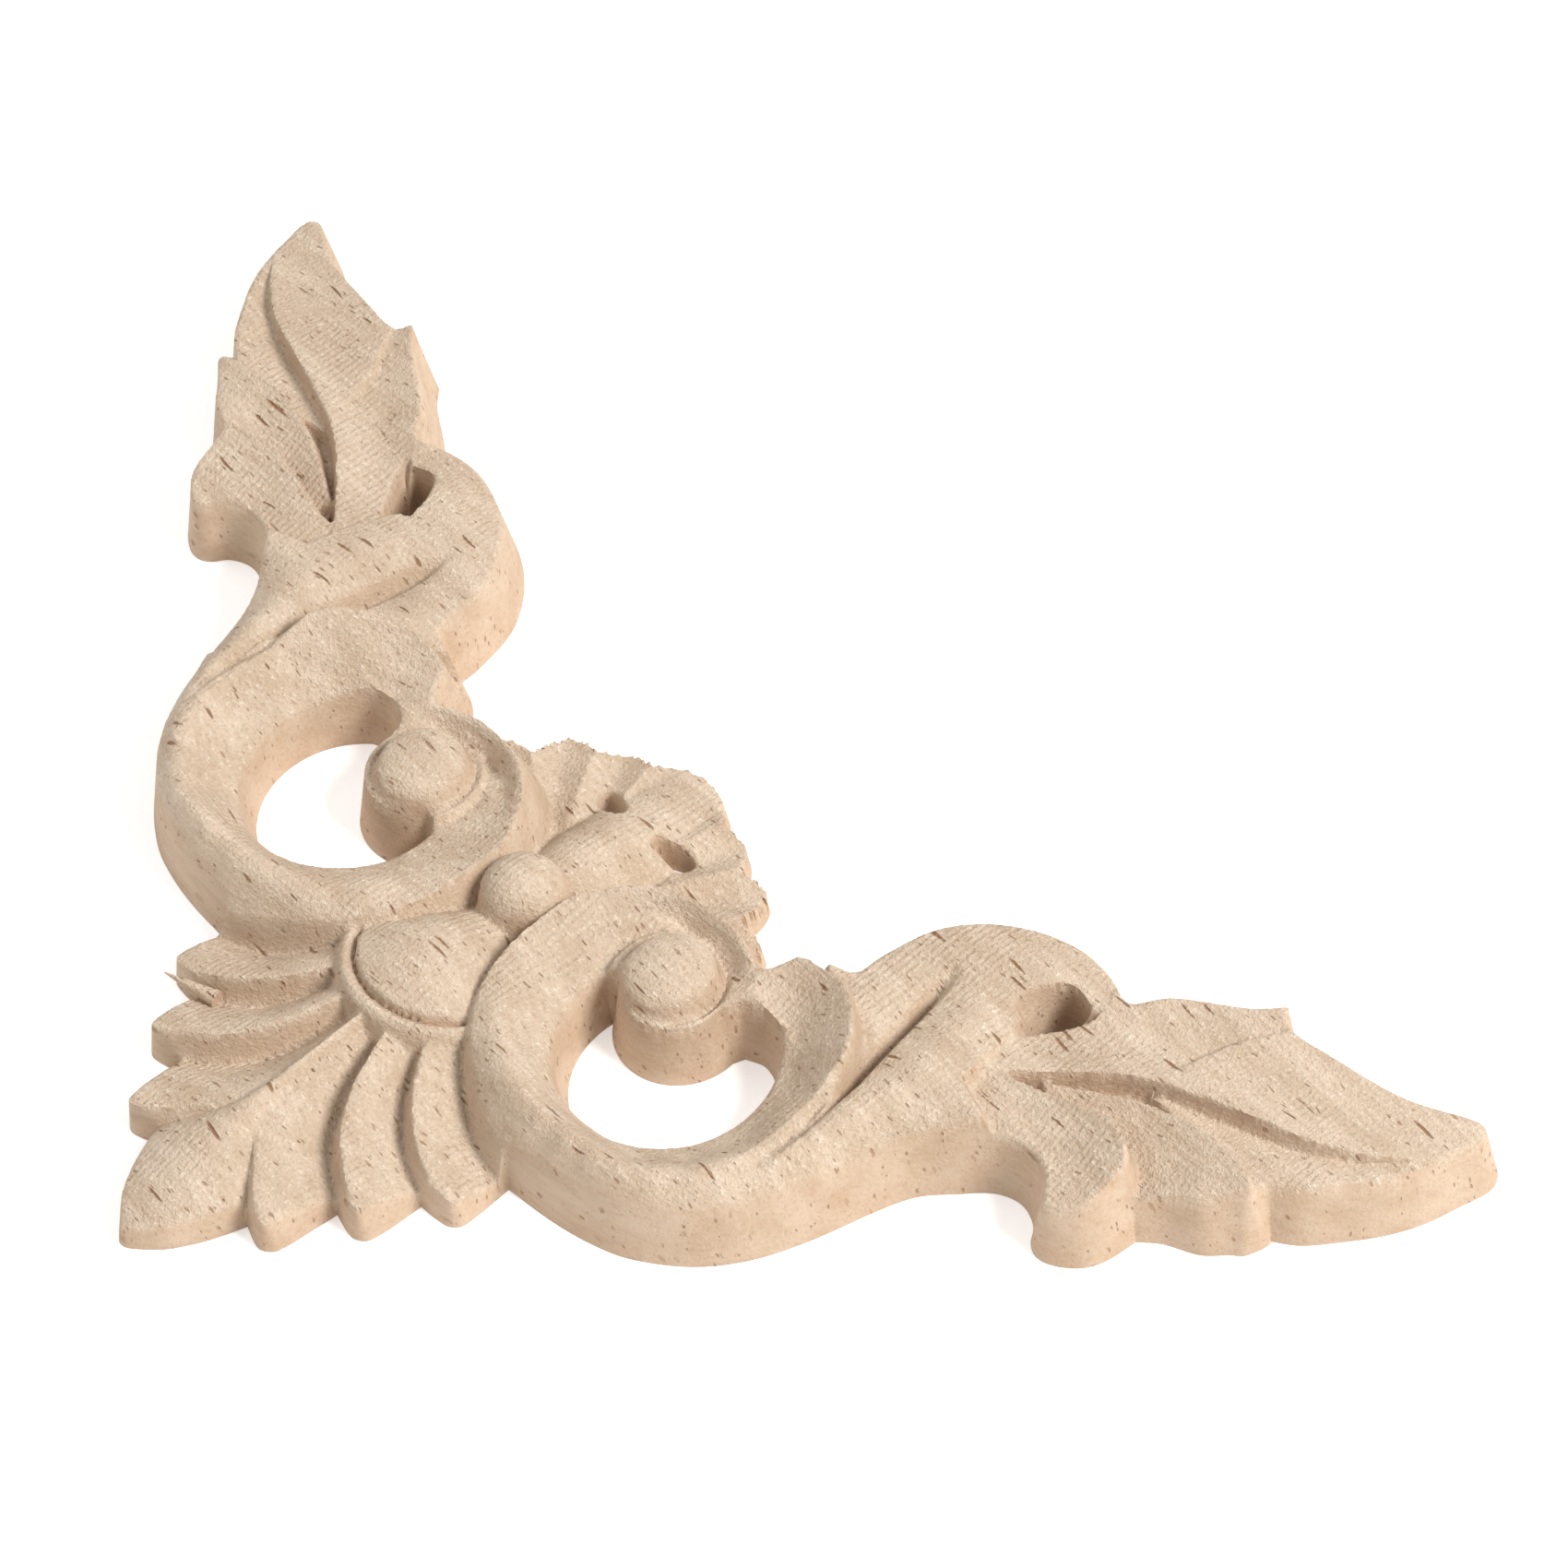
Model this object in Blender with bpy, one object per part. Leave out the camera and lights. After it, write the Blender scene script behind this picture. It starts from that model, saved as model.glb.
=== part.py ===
"""Carved wooden corner onlay: one piece, flat on the back, mirrored about its diagonal."""
import bpy
import bmesh
import numpy as np

# Driving sizes in metres
ARM_LENGTH = 0.100          # overall length of each arm along X and along Y
GRID_CELL = 0.00036         # size of a square of the carved top before it is thinned out
MAX_TRIANGLES = 9400        # faces kept after thinning

# The drawing below is in drawing units; the drawing of one arm spans this many units
DRAWING_SPAN = 103.56
UNIT = ARM_LENGTH / DRAWING_SPAN
DRAWING_CENTRE = 49.396       # middle of the drawing on X and on Y, in drawing units

WALL_STEEPNESS = 5.5        # rise over run of the tapered cutter on the outer walls
STEP_STEEPNESS = 2.8        # the same on the steps inside the relief
FILLET_SHARPNESS = 7.0      # how sharply two forms meet in a valley, per drawing unit
SNAP_REACH = 0.5            # share of a cell over which a grid corner moves onto an edge
SWEEPS = 1                  # rounds of smoothing of the heights

# Remove whatever the scene holds
for old in list(bpy.data.objects):
    bpy.data.objects.remove(old, do_unlink=True)


# Curves and distances in plan
def curve(points, closed=False, steps=5):
    """Smooth curve through the points; a point given with a fourth value is a sharp corner."""
    pts = np.array([p[:2] for p in points], float)
    sharp = [len(p) > 2 for p in points]
    count = len(pts)
    out = []
    for i in range(count if closed else count - 1):
        a = pts[i]
        b = pts[(i + 1) % count]
        before = pts[i - 1] if (closed or i > 0) and not sharp[i] else None
        after = pts[(i + 2) % count] if (closed or i + 2 < count) and not sharp[(i + 1) % count] else None
        start = (b - before) / 2 if before is not None else b - a
        end = (after - a) / 2 if after is not None else b - a
        for k in range(steps):
            t = k / steps
            out.append(a * (2 * t**3 - 3 * t**2 + 1) + start * (t**3 - 2 * t**2 + t)
                       + b * (3 * t**2 - 2 * t**3) + end * (t**3 - t**2))
    if not closed:
        out.append(pts[-1])
    return np.array(out)


def arc(centre, radius, start, stop, count):
    """Points of a circle between two angles in degrees."""
    angle = np.radians(np.linspace(start, stop, count))
    return np.stack([centre[0] + radius * np.cos(angle), centre[1] + radius * np.sin(angle)], -1)


def nearest(points, lines):
    """Distance to the closed outlines, nearest point on them, and whether each point is inside."""
    best = np.full(len(points), 1e9)
    foot = np.zeros_like(points)
    inside = np.zeros(len(points), bool)
    for line in lines:
        for a, b in zip(line, np.roll(line, -1, axis=0)):
            ab = b - a
            t = np.clip(((points - a) @ ab) / max(ab @ ab, 1e-12), 0, 1)
            q = a + t[:, None] * ab
            d = ((points - q)**2).sum(-1)
            closer = d < best
            best[closer] = d[closer]
            foot[closer] = q[closer]
            if a[1] != b[1]:
                crossing = (a[1] > points[:, 1]) != (b[1] > points[:, 1])
                at = a[0] + (points[:, 1] - a[1]) / (b[1] - a[1]) * ab[0]
                inside ^= crossing & (points[:, 0] < at)
    return np.sqrt(best), foot, inside


def surface(spots):
    """Smooth sheet through spot heights given as x, y, z."""
    data = np.array(spots, float)
    xy = data[:, :2]

    def kernel(r2):
        return 0.5 * r2 * np.log(r2 + 1e-9)

    n = len(xy)
    system = np.zeros((n + 3, n + 3))
    system[:n, :n] = kernel(((xy[:, None] - xy[None])**2).sum(-1)) + 0.02 * np.eye(n)
    system[:n, n] = 1
    system[:n, n + 1:] = xy
    system[n, :n] = 1
    system[n + 1:, :n] = xy.T
    weights = np.linalg.solve(system, np.concatenate([data[:, 2], np.zeros(3)]))

    def height(p):
        total = weights[n] + p @ weights[n + 1:]
        for k in range(n):
            total = total + weights[k] * kernel(((p - xy[k])**2).sum(-1))
        return total
    return height


def mirrored(line):
    """The same line on the other half of the onlay."""
    return line[::-1, ::-1]


# The outline on the flat back, one half of the onlay, from the corner round the arm to the inside
half = np.concatenate([
    curve([(-0.1, -0.1), (1.8, -0.3), (3.4, -0.3), (4.9, 0), (6.3, 0.4), (7.8, 1.0), (9.3, 1.7, 1),
           (10.1, 0), (11.0, -0.8), (12.4, -0.1), (13.8, 1.0), (15.9, 2.7, 1),
           (16.9, 1.0), (18.0, 0.2), (19.8, 1.3), (22.1, 3.4, 1),
           (23.4, 2.2), (24.9, 1.4), (26.6, 2.8), (28.5, 4.9, 1),
           (31.8, 2.1), (34.9, 0), (38, -1.4), (42.5, -2.1), (46.9, -1.5), (51.3, 0.3), (55.7, 2.7),
           (58.7, 4.0), (61.6, 4.25), (64.4, 4.3), (66.4, 3.3), (67.3, 1.4),
           (67.1, -0.6), (68.2, -1.9), (70.6, -2.4), (72.6, -1.8), (74.8, -0.1, 1),
           (76.8, -0.3), (79.5, -1.3), (81.8, -1.3), (84.0, -1.8, 1), (84.6, -0.1, 1),
           (86.8, -0.5), (89.7, -0.2), (92.7, 0.3), (95.6, 1.3), (98.4, 2.9), (100.5, 4.2),
           (101.3, 5.6), (100.2, 7.4), (96.2, 8.7), (93.6, 10.0), (90.9, 11.9), (88.2, 13.8),
           (87.3, 14.6, 1), (87.6, 15.9), (86.4, 16.9), (83.6, 17.0), (80.5, 17.7), (77.5, 18.2),
           (74.9, 17.9, 1), (73.9, 20.1), (71.4, 22.9), (67.6, 24.9), (63.4, 25.6), (59.2, 24.9),
           (55.6, 22.7), (53.9, 21.2, 1), (52.0, 22.2), (50.0, 22.4), (47.5, 21.5, 1),
           (47.0, 23.2), (46.3, 24.7, 1), (46.8, 25.6), (46.1, 26.9), (45.2, 27.8, 1),
           (46.3, 29.2), (46.8, 30.6), (46.3, 31.9), (45.1, 32.9, 1), (45.2, 34.7), (44.7, 36.3),
           (43.6, 37.4, 1), (43.4, 38.9), (42.9, 40.5), (42.0, 42.0, 1)]),
])
RING_CENTRE = (40.1, 14.0)
BUTTON_CENTRE = (40.5, 19.5)
scroll_hole = np.concatenate([
    arc(RING_CENTRE, 7.75, 128, 365, 44),
    curve([(47.6, 15.2), (46.9, 16.1), (45.5, 16.7)], steps=3),
    arc(BUTTON_CENTRE, 5.2, -38, -186, 26),
])
hook_hole = curve([(66.9, 15.5, 1), (67.6, 16.9), (68.8, 18.0), (70.2, 18.0), (71.2, 16.7, 1)],
                  closed=True)
palmette_hole = curve([(38.3, 35.0), (39.4, 33.8), (40.1, 33.4), (40.7, 33.9), (39.9, 34.6)], closed=True)
outline = np.concatenate([half, mirrored(half)[1:]])
cuts = [(outline, True, WALL_STEEPNESS)]
for hole, steep in ((scroll_hole, WALL_STEEPNESS), (hook_hole, 14.0), (palmette_hole, WALL_STEEPNESS)):
    cuts += [(hole, False, steep), (mirrored(hole), False, steep)]

# Forms of the relief: each has an outline in plan and a height over it
forms = []


def form(edge, height, steep=STEP_STEEPNESS):
    """Add a form: its outline, its height over it, and how steeply it falls away outside it."""
    forms.append((edge, height, steep))


# Shell fan: the middle petal and three blades on each side
BELL = (23.1, 23.1)
PETAL_EDGES = [curve([(10.4, -2.0), (10.2, 1.0), (10.0, 4.0), (9.9, 6.0), (10.1, 8.0), (10.9, 10.0),
                      (12.0, 11.9), (15.6, 17.0), (18, 19)]),
               curve([(17.4, -1.0), (17.0, 2.8), (16.4, 5.5), (16.3, 7.6), (16.6, 9.6), (17.1, 11.6),
                      (18.0, 13.6), (19.4, 16.6)]),
               curve([(23.6, 0.0), (22.8, 3.9), (21.9, 6.3), (21.5, 8.5), (21.4, 10.9), (21.7, 13.0),
                      (22.3, 16.0)]),
               curve([(30.0, 3.0), (28.6, 5.0), (27.2, 8.0), (26.2, 11.0), (26.0, 15.0)])]


def petal_height(p):
    s = (p[:, 0] + p[:, 1]) / np.sqrt(2)
    t = (p[:, 0] - p[:, 1]) / np.sqrt(2)
    ridge = np.interp(s, [-1, 3, 8, 14, 22], [1.3, 3.0, 4.6, 5.3, 5.7])
    width = np.interp(s, [0, 3, 7, 10, 13, 16, 20], [2.6, 4.0, 5.4, 4.6, 2.4, 1.2, 1.0])
    return ridge - (ridge - 1.9) * np.minimum(t / width, 1.6)**2


def blade_height(index):
    left = PETAL_EDGES[index]
    right = PETAL_EDGES[index + 1]
    tip, root = ((3.9, 5.4), (3.7, 5.4), (2.9, 5.2))[index]
    low_tip, low_root = ((1.2, 3.2), (1.1, 3.2), (1.0, 3.4))[index]

    def height(p):
        def distance(line):
            gaps = [((p - q)**2).sum(-1) for q in line]
            return np.sqrt(np.min(gaps, axis=0))
        across = distance(left)
        across = across / (across + distance(right) + 1e-6)
        out = np.clip((np.hypot(p[:, 0] - BELL[0], p[:, 1] - BELL[1]) - 8.5) / 13.5, 0, 1.3)
        high = root + (tip - root) * out**1.2
        low = low_root + (low_tip - low_root) * np.minimum(out * 2.2, 1.0)
        return high - (high - low) * np.minimum(across * 1.08, 1.0)**1.5
    return height


form(curve([(-3, -3, 1), (6, -3, 1), (12.5, 0), (11.5, 6), (12, 9), (13, 11.5), (17.5, 16.2, 1),
            (19, 19, 1), (-3, -3, 1)], closed=False)[:-1], petal_height, 2.0)
for number in range(3):
    form(np.concatenate([PETAL_EDGES[number], (PETAL_EDGES[number + 1] + (1.2, 0))[::-1]]),
         blade_height(number))


# Collar and bell
def bell_height(p):
    s = (p[:, 0] + p[:, 1]) / np.sqrt(2)
    t = (p[:, 0] - p[:, 1]) / np.sqrt(2)
    r = np.hypot(p[:, 0] - BELL[0], p[:, 1] - BELL[1])
    width = np.interp(s, [26, 30, 33, 36, 39], [7.2, 6.3, 4.7, 3.9, 3.4])
    side = np.minimum(np.abs(t) / width, 1.3)**2
    dome = np.interp(s, [24, 26, 28.5, 31, 34, 37, 40], [5.6, 6.8, 7.5, 7.6, 6.9, 5.3, 4.4]) - 2.2 * side
    rim = 6.5 - 0.9 * ((r - 7.75) / 0.75)**2 - 0.9 * side
    return np.where(r < 6.9, np.maximum(dome, rim), rim)


form(arc(BELL, 8.35, 0, 354, 60), bell_height)
BALL = (28.5, 28.5)
BALL_RADIUS = 3.5
form(arc(BALL, BALL_RADIUS, 0, 352, 45),
     lambda p: 4.9 + np.sqrt(np.maximum(BALL_RADIUS**2 - ((p - BALL)**2).sum(-1), 0)), 6)


# Palmette on the inside of the corner
def palmette_height(p):
    s = (p[:, 0] + p[:, 1]) / np.sqrt(2)
    t = (p[:, 0] - p[:, 1]) / np.sqrt(2)
    angle = np.degrees(np.arctan2(p[:, 1] - BALL[1], p[:, 0] - BALL[0]))
    r = np.hypot(p[:, 0] - BALL[0], p[:, 1] - BALL[1])
    hump = (np.interp(s, [40, 43, 47, 50, 53, 56, 60], [4.6, 5.3, 5.2, 4.6, 3.6, 2.9, 2.4])
            - np.interp(s, [42, 50, 54, 58], [0.16, 0.14, 0.08, 0.02]) * t**2)
    lobe = np.interp(angle, [-20, -2.4, 14.9, 30.5, 59.5], [0, 1, 2, 3, 4])
    flute = np.abs(2 * (lobe - np.floor(lobe)) - 1)**1.5
    skirt = 2.0 + 0.9 * flute * np.clip((r - 7) / 6, 0, 1)
    return np.maximum(hump, skirt)


form(curve([(27, 27, 1), (47, 24, 1), (50, 30, 1), (46, 46, 1)], closed=True), palmette_height)

# Scroll ring: spot heights on its outer edge, its crest and its inner edge
ring_edge = curve([(47.2, 17.5), (46.6, 20.3), (46.1, 21.8), (44.8, 24.0), (42.8, 25.9), (40.1, 27.5),
                   (37.2, 28.0), (34.2, 27.5), (31.6, 26.4), (28.1, 22.6), (26.4, 19.6), (25.6, 16.6),
                   (25.6, 13.5), (26.4, 10.0), (27.7, 6.6), (30.2, 3.0), (34, -2), (42, -4),
                   (50, -3), (52.0, 2.0, 1), (50.3, 4.6), (51.9, 6.2), (52.5, 9), (50, 14)], closed=True)
ring_spots = [(46.4, 20.3, 6.3), (44.5, 24.2, 6.5), (42.6, 26, 6.7), (40, 27.4, 6.9), (37.2, 28, 7.0),
              (33.6, 27.4, 7.0), (30.1, 25.1, 7.0), (28.1, 22.6, 6.9), (26.6, 20.1, 6.7), (25.8, 16.6, 6.5),
              (25.8, 13.5, 6.0), (26.7, 10.0, 5.4), (28.2, 6.9, 4.9), (30.9, 4.0, 4.8), (33.8, 1.6, 4.8),
              (37, -0.4, 4.9), (41, -1.3, 5.0), (44, -1.3, 5.0), (47, -0.7, 5.1), (50, 0.5, 5.2),
              (27.2, 16.5, 7.1), (27.6, 13.0, 7.2), (28.5, 10.6, 7.3), (29.6, 8.4, 7.35), (31.2, 6.2, 7.4),
              (33.3, 3.9, 7.5), (35.2, 2.3, 7.5), (37.5, 1.1, 7.6), (40.2, 0.5, 7.65), (43.2, 0.45, 7.7),
              (46, 1.0, 7.8), (48.3, 2.4, 7.9), (50.3, 4.2, 8.1),
              (31.5, 14, 5.1), (32.0, 11.0, 5.0), (33.4, 8.6, 4.8), (36.0, 6.3, 4.6), (40.1, 5.4, 4.5),
              (44.0, 6.2, 4.5), (46.6, 8.2, 4.6), (48.4, 11, 4.7),
              (32.0, 17.5, 5.0), (33.6, 20.2, 5.0), (35.8, 22.2, 5.0),
              (29.4, 14, 6.4), (30.2, 20, 6.2), (32.6, 24, 6.1), (37.5, 26.0, 5.9), (41.2, 25.4, 5.6),
              (38.2, 24.3, 5.1), (43.6, 23.4, 5.4), (42.6, 23.2, 5.0), (44.6, 20.6, 5.6), (44.0, 18.4, 5.5),
              (45.6, 17.8, 5.9), (37.4, 27.3, 6.7), (34.2, 26.8, 6.7), (40.3, 26.6, 6.5), (43.1, 25.1, 6.2),
              (45.2, 22.6, 6.1), (45.9, 20.5, 6.2),
              (38.6, 3.2, 6.2), (42.5, 3.0, 6.2), (46.6, 4.4, 6.4), (49.3, 7.2, 6.8)]
form(ring_edge, surface(ring_spots))

# Eye of the scroll: a post standing in the hole, with a dome on it
form(arc(BUTTON_CENTRE, 5.2, 0, 350, 36), lambda p: np.full(len(p), 5.75))
DOME_CENTRE = (40.3, 20.0)
form(arc(DOME_CENTRE, 3.75, 0, 350, 36),
     lambda p: 6.1 + 1.9 * np.sqrt(np.maximum(1 - ((p - DOME_CENTRE)**2).sum(-1) / 3.85**2, 0)), 3)

# Curled inner leaf with its raised rim
leaf_rim = [(46.6, 20.1, 6.5), (47.6, 20.8, 6.8), (49.3, 21.1, 7.1), (50.6, 20.5, 7.4), (52.0, 19.2, 7.8),
            (53.2, 17.9, 8.3), (53.9, 16.0, 8.8), (54.2, 14.2, 9.1), (54.15, 12.3, 9.3), (53.7, 10.0, 9.2),
            (52.9, 8.0, 8.9), (51.9, 6.2, 8.5), (50.3, 4.6, 8.1), (48.3, 2.9, 7.8)]
form(np.concatenate([curve([p[:2] for p in leaf_rim]), [(46, 6), (45.5, 12)], [(45, 16.4)]]),
     surface(leaf_rim + [(48.9, 9.5, 5.2), (48.9, 12.9, 5.0), (48.2, 15.4, 5.2), (46.6, 17.4, 5.6),
                         (47.0, 7.4, 4.7), (50.0, 18.0, 6.3), (51.2, 14.5, 6.9), (51.0, 10.5, 6.9),
                         (45.2, 5.6, 4.6)]), 4.5)

# Stem: the inner band on the far side of the groove, then the outer band in front of it
form(curve([(48.6, 2.6, 1), (52, 6.6), (56, 11.8), (60.4, 18.0), (62.5, 18.6, 1), (64.5, 16.9, 1),
            (65.6, 16.9), (67.6, 18.2), (69.6, 18.3), (71.5, 16.6), (74.5, 16.5, 1), (74.6, 20), (70, 26),
            (60, 28), (52, 22, 1), (52, 12)], closed=True),
     surface([(50.6, 5.0, 6.9), (53.4, 8.9, 6.5), (56.2, 12.8, 6.2), (58.6, 16.4, 6.0), (60.4, 18.9, 6.3),
              (52.6, 6.9, 6.7), (55.2, 14, 6.6), (55.4, 18, 6.8), (54.4, 19.6, 6.5), (57.4, 18.6, 6.6),
              (57.0, 22.3, 6.4), (60, 23.6, 6.5), (60.5, 21.0, 6.8), (63.5, 23.9, 6.6), (63.4, 20.4, 7.0),
              (67.2, 22.7, 6.6), (66.0, 19.4, 7.0), (70.2, 20.8, 6.6), (72.5, 18.2, 6.4), (73.6, 16.5, 6.4),
              (69.0, 19.6, 6.9), (65.5, 17.0, 6.7), (71.6, 16.9, 6.3)]))
form(curve([(47.0, 1.8, 1), (50.1, 4.35), (52.0, 6.75), (54.0, 9.2), (55.9, 12.0), (57.9, 14.9),
            (59.9, 17.8), (61.9, 20.2, 1), (65.0, 18.5), (66.3, 15.8, 1), (65.4, 13.8), (64.5, 12.3),
            (63.1, 10.4), (62.2, 9.2, 1), (62.9, 7.6), (63.6, 6.2), (64.0, 4.6, 1), (64.6, 1, 1),
            (47, -4, 1)], closed=True),
     surface([(50.1, 4.4, 7.5), (52, 6.8, 7.3), (54, 9.3, 7.1), (55.9, 12, 6.9), (57.9, 15, 6.6),
              (59.9, 17.8, 6.4), (61.9, 20.2, 6.9), (49.2, 2.6, 7.9), (51.5, 3.9, 7.9), (54.0, 5.6, 8.0),
              (57, 8.2, 8.0), (60, 11.5, 8.0), (62.6, 15.0, 7.5), (64.2, 17.8, 6.9), (47.6, -0.6, 5.1),
              (50.8, 0.9, 5.2), (52.8, 2.0, 5.3), (54.8, 3.2, 5.5), (56.8, 4.3, 5.8), (58.8, 5.0, 6.3),
              (61.4, 5.3, 6.9), (63.4, 5.4, 7.7), (59, 7.2, 7.7), (61.2, 7.2, 7.8), (62.2, 9.0, 7.7),
              (64.2, 12.0, 7.2), (65.9, 15.0, 6.6)]))

# End leaf: strip beside the upper lobe, main blade, then the two lower lobes
form(curve([(62, 10.9, 1), (70, 10.6), (76, 9.6), (84, 5.8), (89, 5, 1), (89, 18, 1), (74, 19, 1),
            (72, 15.8), (68, 14.6), (64, 14, 1)], closed=True),
     surface([(64.5, 12.6, 6.5), (66.5, 14.9, 5.9), (71.6, 16.0, 6.1), (73.8, 16.6, 6.5), (76, 16.8, 6.9),
              (78.5, 16.5, 7.0), (81, 16.1, 7.1), (83, 16.0, 7.4), (85, 15.9, 7.6), (86.4, 14.6, 7.3),
              (86.2, 13.4, 6.8), (68.0, 13.2, 5.9), (72, 13.6, 6.0), (76, 13.8, 6.1), (80, 13.4, 6.2),
              (83, 13.6, 6.5), (67.0, 11.4, 6.3), (71, 11.2, 6.5), (75, 10.5, 6.7), (79, 9.6, 6.7),
              (84, 8, 6.2)]), 5)
form(curve([(75.6, 9.9, 1), (78, 8.9), (80, 7.9), (84, 5.8), (88, 3.95), (92, 3.1), (95.5, 3.0, 1),
            (103, 3.0, 1), (103, 9, 1), (88, 16, 1), (85.8, 13.6, 1), (82.6, 12.9), (80.2, 11.9),
            (78.0, 10.6)], closed=True),
     surface([(76, 9.8, 6.6), (80, 8.0, 7.0), (84, 6.0, 7.0), (88, 4.1, 6.7), (92, 3.3, 6.3),
              (95, 3.1, 5.8), (98, 4.0, 5.5), (80.4, 11.6, 6.8), (83.0, 12.6, 7.0), (86.3, 13.5, 7.1),
              (89, 11.4, 6.8), (92, 9.2, 6.4), (95, 7.6, 6.1), (98, 6.6, 5.8), (100, 5.5, 5.4),
              (84, 9.6, 6.7), (88, 7.8, 6.4), (92, 6.0, 6.0), (95.5, 5.2, 5.8)]), 5)
form(curve([(76, 9, 1), (84, 0, 1), (86, -4, 1), (103, -4, 1), (103, 5, 1), (95, 5, 1), (84, 7, 1)],
           closed=True),
     surface([(78, 8.3, 5.4), (82, 6.3, 5.3), (86, 4.3, 5.3), (90, 3.0, 5.4), (94, 2.5, 5.6),
              (84.8, 2.6, 5.7), (85.2, 0.6, 5.6), (88, 0.6, 5.9), (92, 1.2, 5.8), (96, 2.2, 5.6),
              (99, 3.9, 5.4), (88.5, 2.0, 5.9), (96, 3.2, 5.6)]), 5)
form(curve([(68, 10.4, 1), (74.5, 8.3), (77.4, 6.7), (79.3, 5.3), (80.9, 3.6), (82.3, 1.9),
            (83.3, 0.3), (84.0, -2, 1), (75, -4, 1), (70, 4, 1)], closed=True),
     surface([(70, 9.6, 5.7), (74.5, 8.1, 6.2), (77.2, 6.6, 6.5), (79.1, 5.2, 6.9), (80.7, 3.6, 7.1),
              (82.1, 1.9, 7.2), (83.1, 0.3, 7.1), (83.5, -0.8, 6.6), (74.6, 6.0, 5.3), (75.8, 3.2, 5.0),
              (76.0, 0.6, 4.6), (78.0, 3.4, 5.7), (79.5, 0.6, 6.0), (80.5, -0.6, 5.7), (77.5, -0.2, 5.0)]), 5)
form(curve([(60.5, 11.5, 1), (64.3, 11.2), (66, 9.9), (68, 8.5), (70, 7.2), (71.7, 6.0), (73.2, 4.7),
            (74.1, 3.2), (74.25, 1.6), (73.6, 0.0), (72.9, -3, 1), (64, -4, 1), (62, 4, 1)], closed=True),
     surface([(64.0, 11.0, 6.3), (66, 9.7, 6.7), (68, 8.3, 7.1), (70, 7.0, 7.6), (71.7, 5.8, 8.0),
              (73.1, 4.5, 8.4), (74.0, 3.1, 8.55), (74.1, 1.5, 8.2), (73.3, 0.0, 7.4), (71.4, -1.0, 6.5),
              (69.2, -1.2, 5.9), (67.7, 0.0, 5.7), (67.9, 2.0, 6.0), (66.6, 4.2, 6.0), (64.4, 5.2, 5.9),
              (63.6, 7.6, 6.1), (62.8, 9.6, 6.2), (67.4, 6.2, 6.4), (70.4, 4.6, 6.9), (71.4, 1.8, 6.9)]), 5)


# Height of the whole relief
FLOOR = 1.3


def relief(points):
    """For each form: its height, the distance to its edge, and the nearest point of that edge."""
    p = np.where((points[:, 0] >= points[:, 1])[:, None], points, points[:, ::-1])
    heights = np.full((len(forms), len(p)), -9.0)
    reach = np.full((len(forms), len(p)), 9.0)
    feet = np.zeros((len(forms), len(p), 2))
    for i, (edge, height, steep) in enumerate(forms):
        near = ((p > edge.min(0) - 2.5) & (p < edge.max(0) + 2.5)).all(-1)
        q = p[near]
        d, foot, inside = nearest(q, [edge])
        heights[i, near] = height(np.where(inside[:, None], q, foot)) - steep * np.where(inside, 0, d)
        reach[i, near] = d
        feet[i, near] = foot
    return p, heights, reach, feet


def crease(p, line, depth, width):
    """V-shaped cut along a line whose depth is given at its points."""
    best = np.full(len(p), 1e9)
    deep = np.zeros(len(p))
    for a, b, da, db in zip(line, line[1:], depth, depth[1:]):
        ab = b - a
        t = np.clip(((p - a) @ ab) / (ab @ ab), 0, 1)
        d = ((p - a - t[:, None] * ab)**2).sum(-1)
        closer = d < best
        best[closer] = d[closer]
        deep[closer] = (da + (db - da) * t)[closer]
    return deep * np.maximum(1 - np.sqrt(best) / width, 0)


# Groove between the two bands of the stem, and the groove round the dome
STEM_GROOVE = curve([(44.0, 0.4), (46.5, 1.3), (48.4, 2.6), (50.2, 4.5), (52.1, 6.9), (54.1, 9.4), (56.0, 12.2),
                     (58.0, 15.1), (60.0, 18.0), (61.8, 20.2)], steps=2)
GROOVE_DEPTH = np.interp(np.linspace(0, 1, len(STEM_GROOVE)), [0, 0.2, 0.5, 0.85, 1], [0, 0.35, 1.1, 1.4, 0])
EYE_GROOVE = arc(DOME_CENTRE, 3.85, 150, -100, 24)
EYE_DEPTH = np.interp(np.linspace(0, 1, 24), [0, 0.3, 0.8, 1], [0.2, 0.6, 0.7, 0])


def total_height(points):
    """The forms melted together, with the V-shaped cuts taken out."""
    p, heights = relief(points)[:2]
    heights = np.maximum(heights, FLOOR)
    top = heights.max(0)
    blend = np.exp((heights - top) * FILLET_SHARPNESS).sum(0) - (heights <= FLOOR).sum(0) * np.exp(
        (FLOOR - top) * FILLET_SHARPNESS)
    top = top + np.log(np.maximum(blend, 1)) / FILLET_SHARPNESS
    top -= crease(p, STEM_GROOVE, GROOVE_DEPTH, 0.75)
    return top - crease(p, EYE_GROOVE, EYE_DEPTH, 0.6)


# The carved top: a grid whose corners are moved onto the edges of the forms and onto the outline
cell = GRID_CELL / UNIT
count = int(106 / cell)
bm = bmesh.new()
bmesh.ops.create_grid(bm, x_segments=count, y_segments=count, size=count * cell / 2)
bmesh.ops.translate(bm, vec=(50, 50, 0), verts=bm.verts)
bm.verts.ensure_lookup_table()
plan = np.array([v.co[:2] for v in bm.verts])
coarse_d, coarse_foot, coarse_in = nearest(plan, [outline[::4]])
keep = coarse_in | (coarse_d < 3 * cell)
index = np.flatnonzero(keep)
plan = plan[index]

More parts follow.
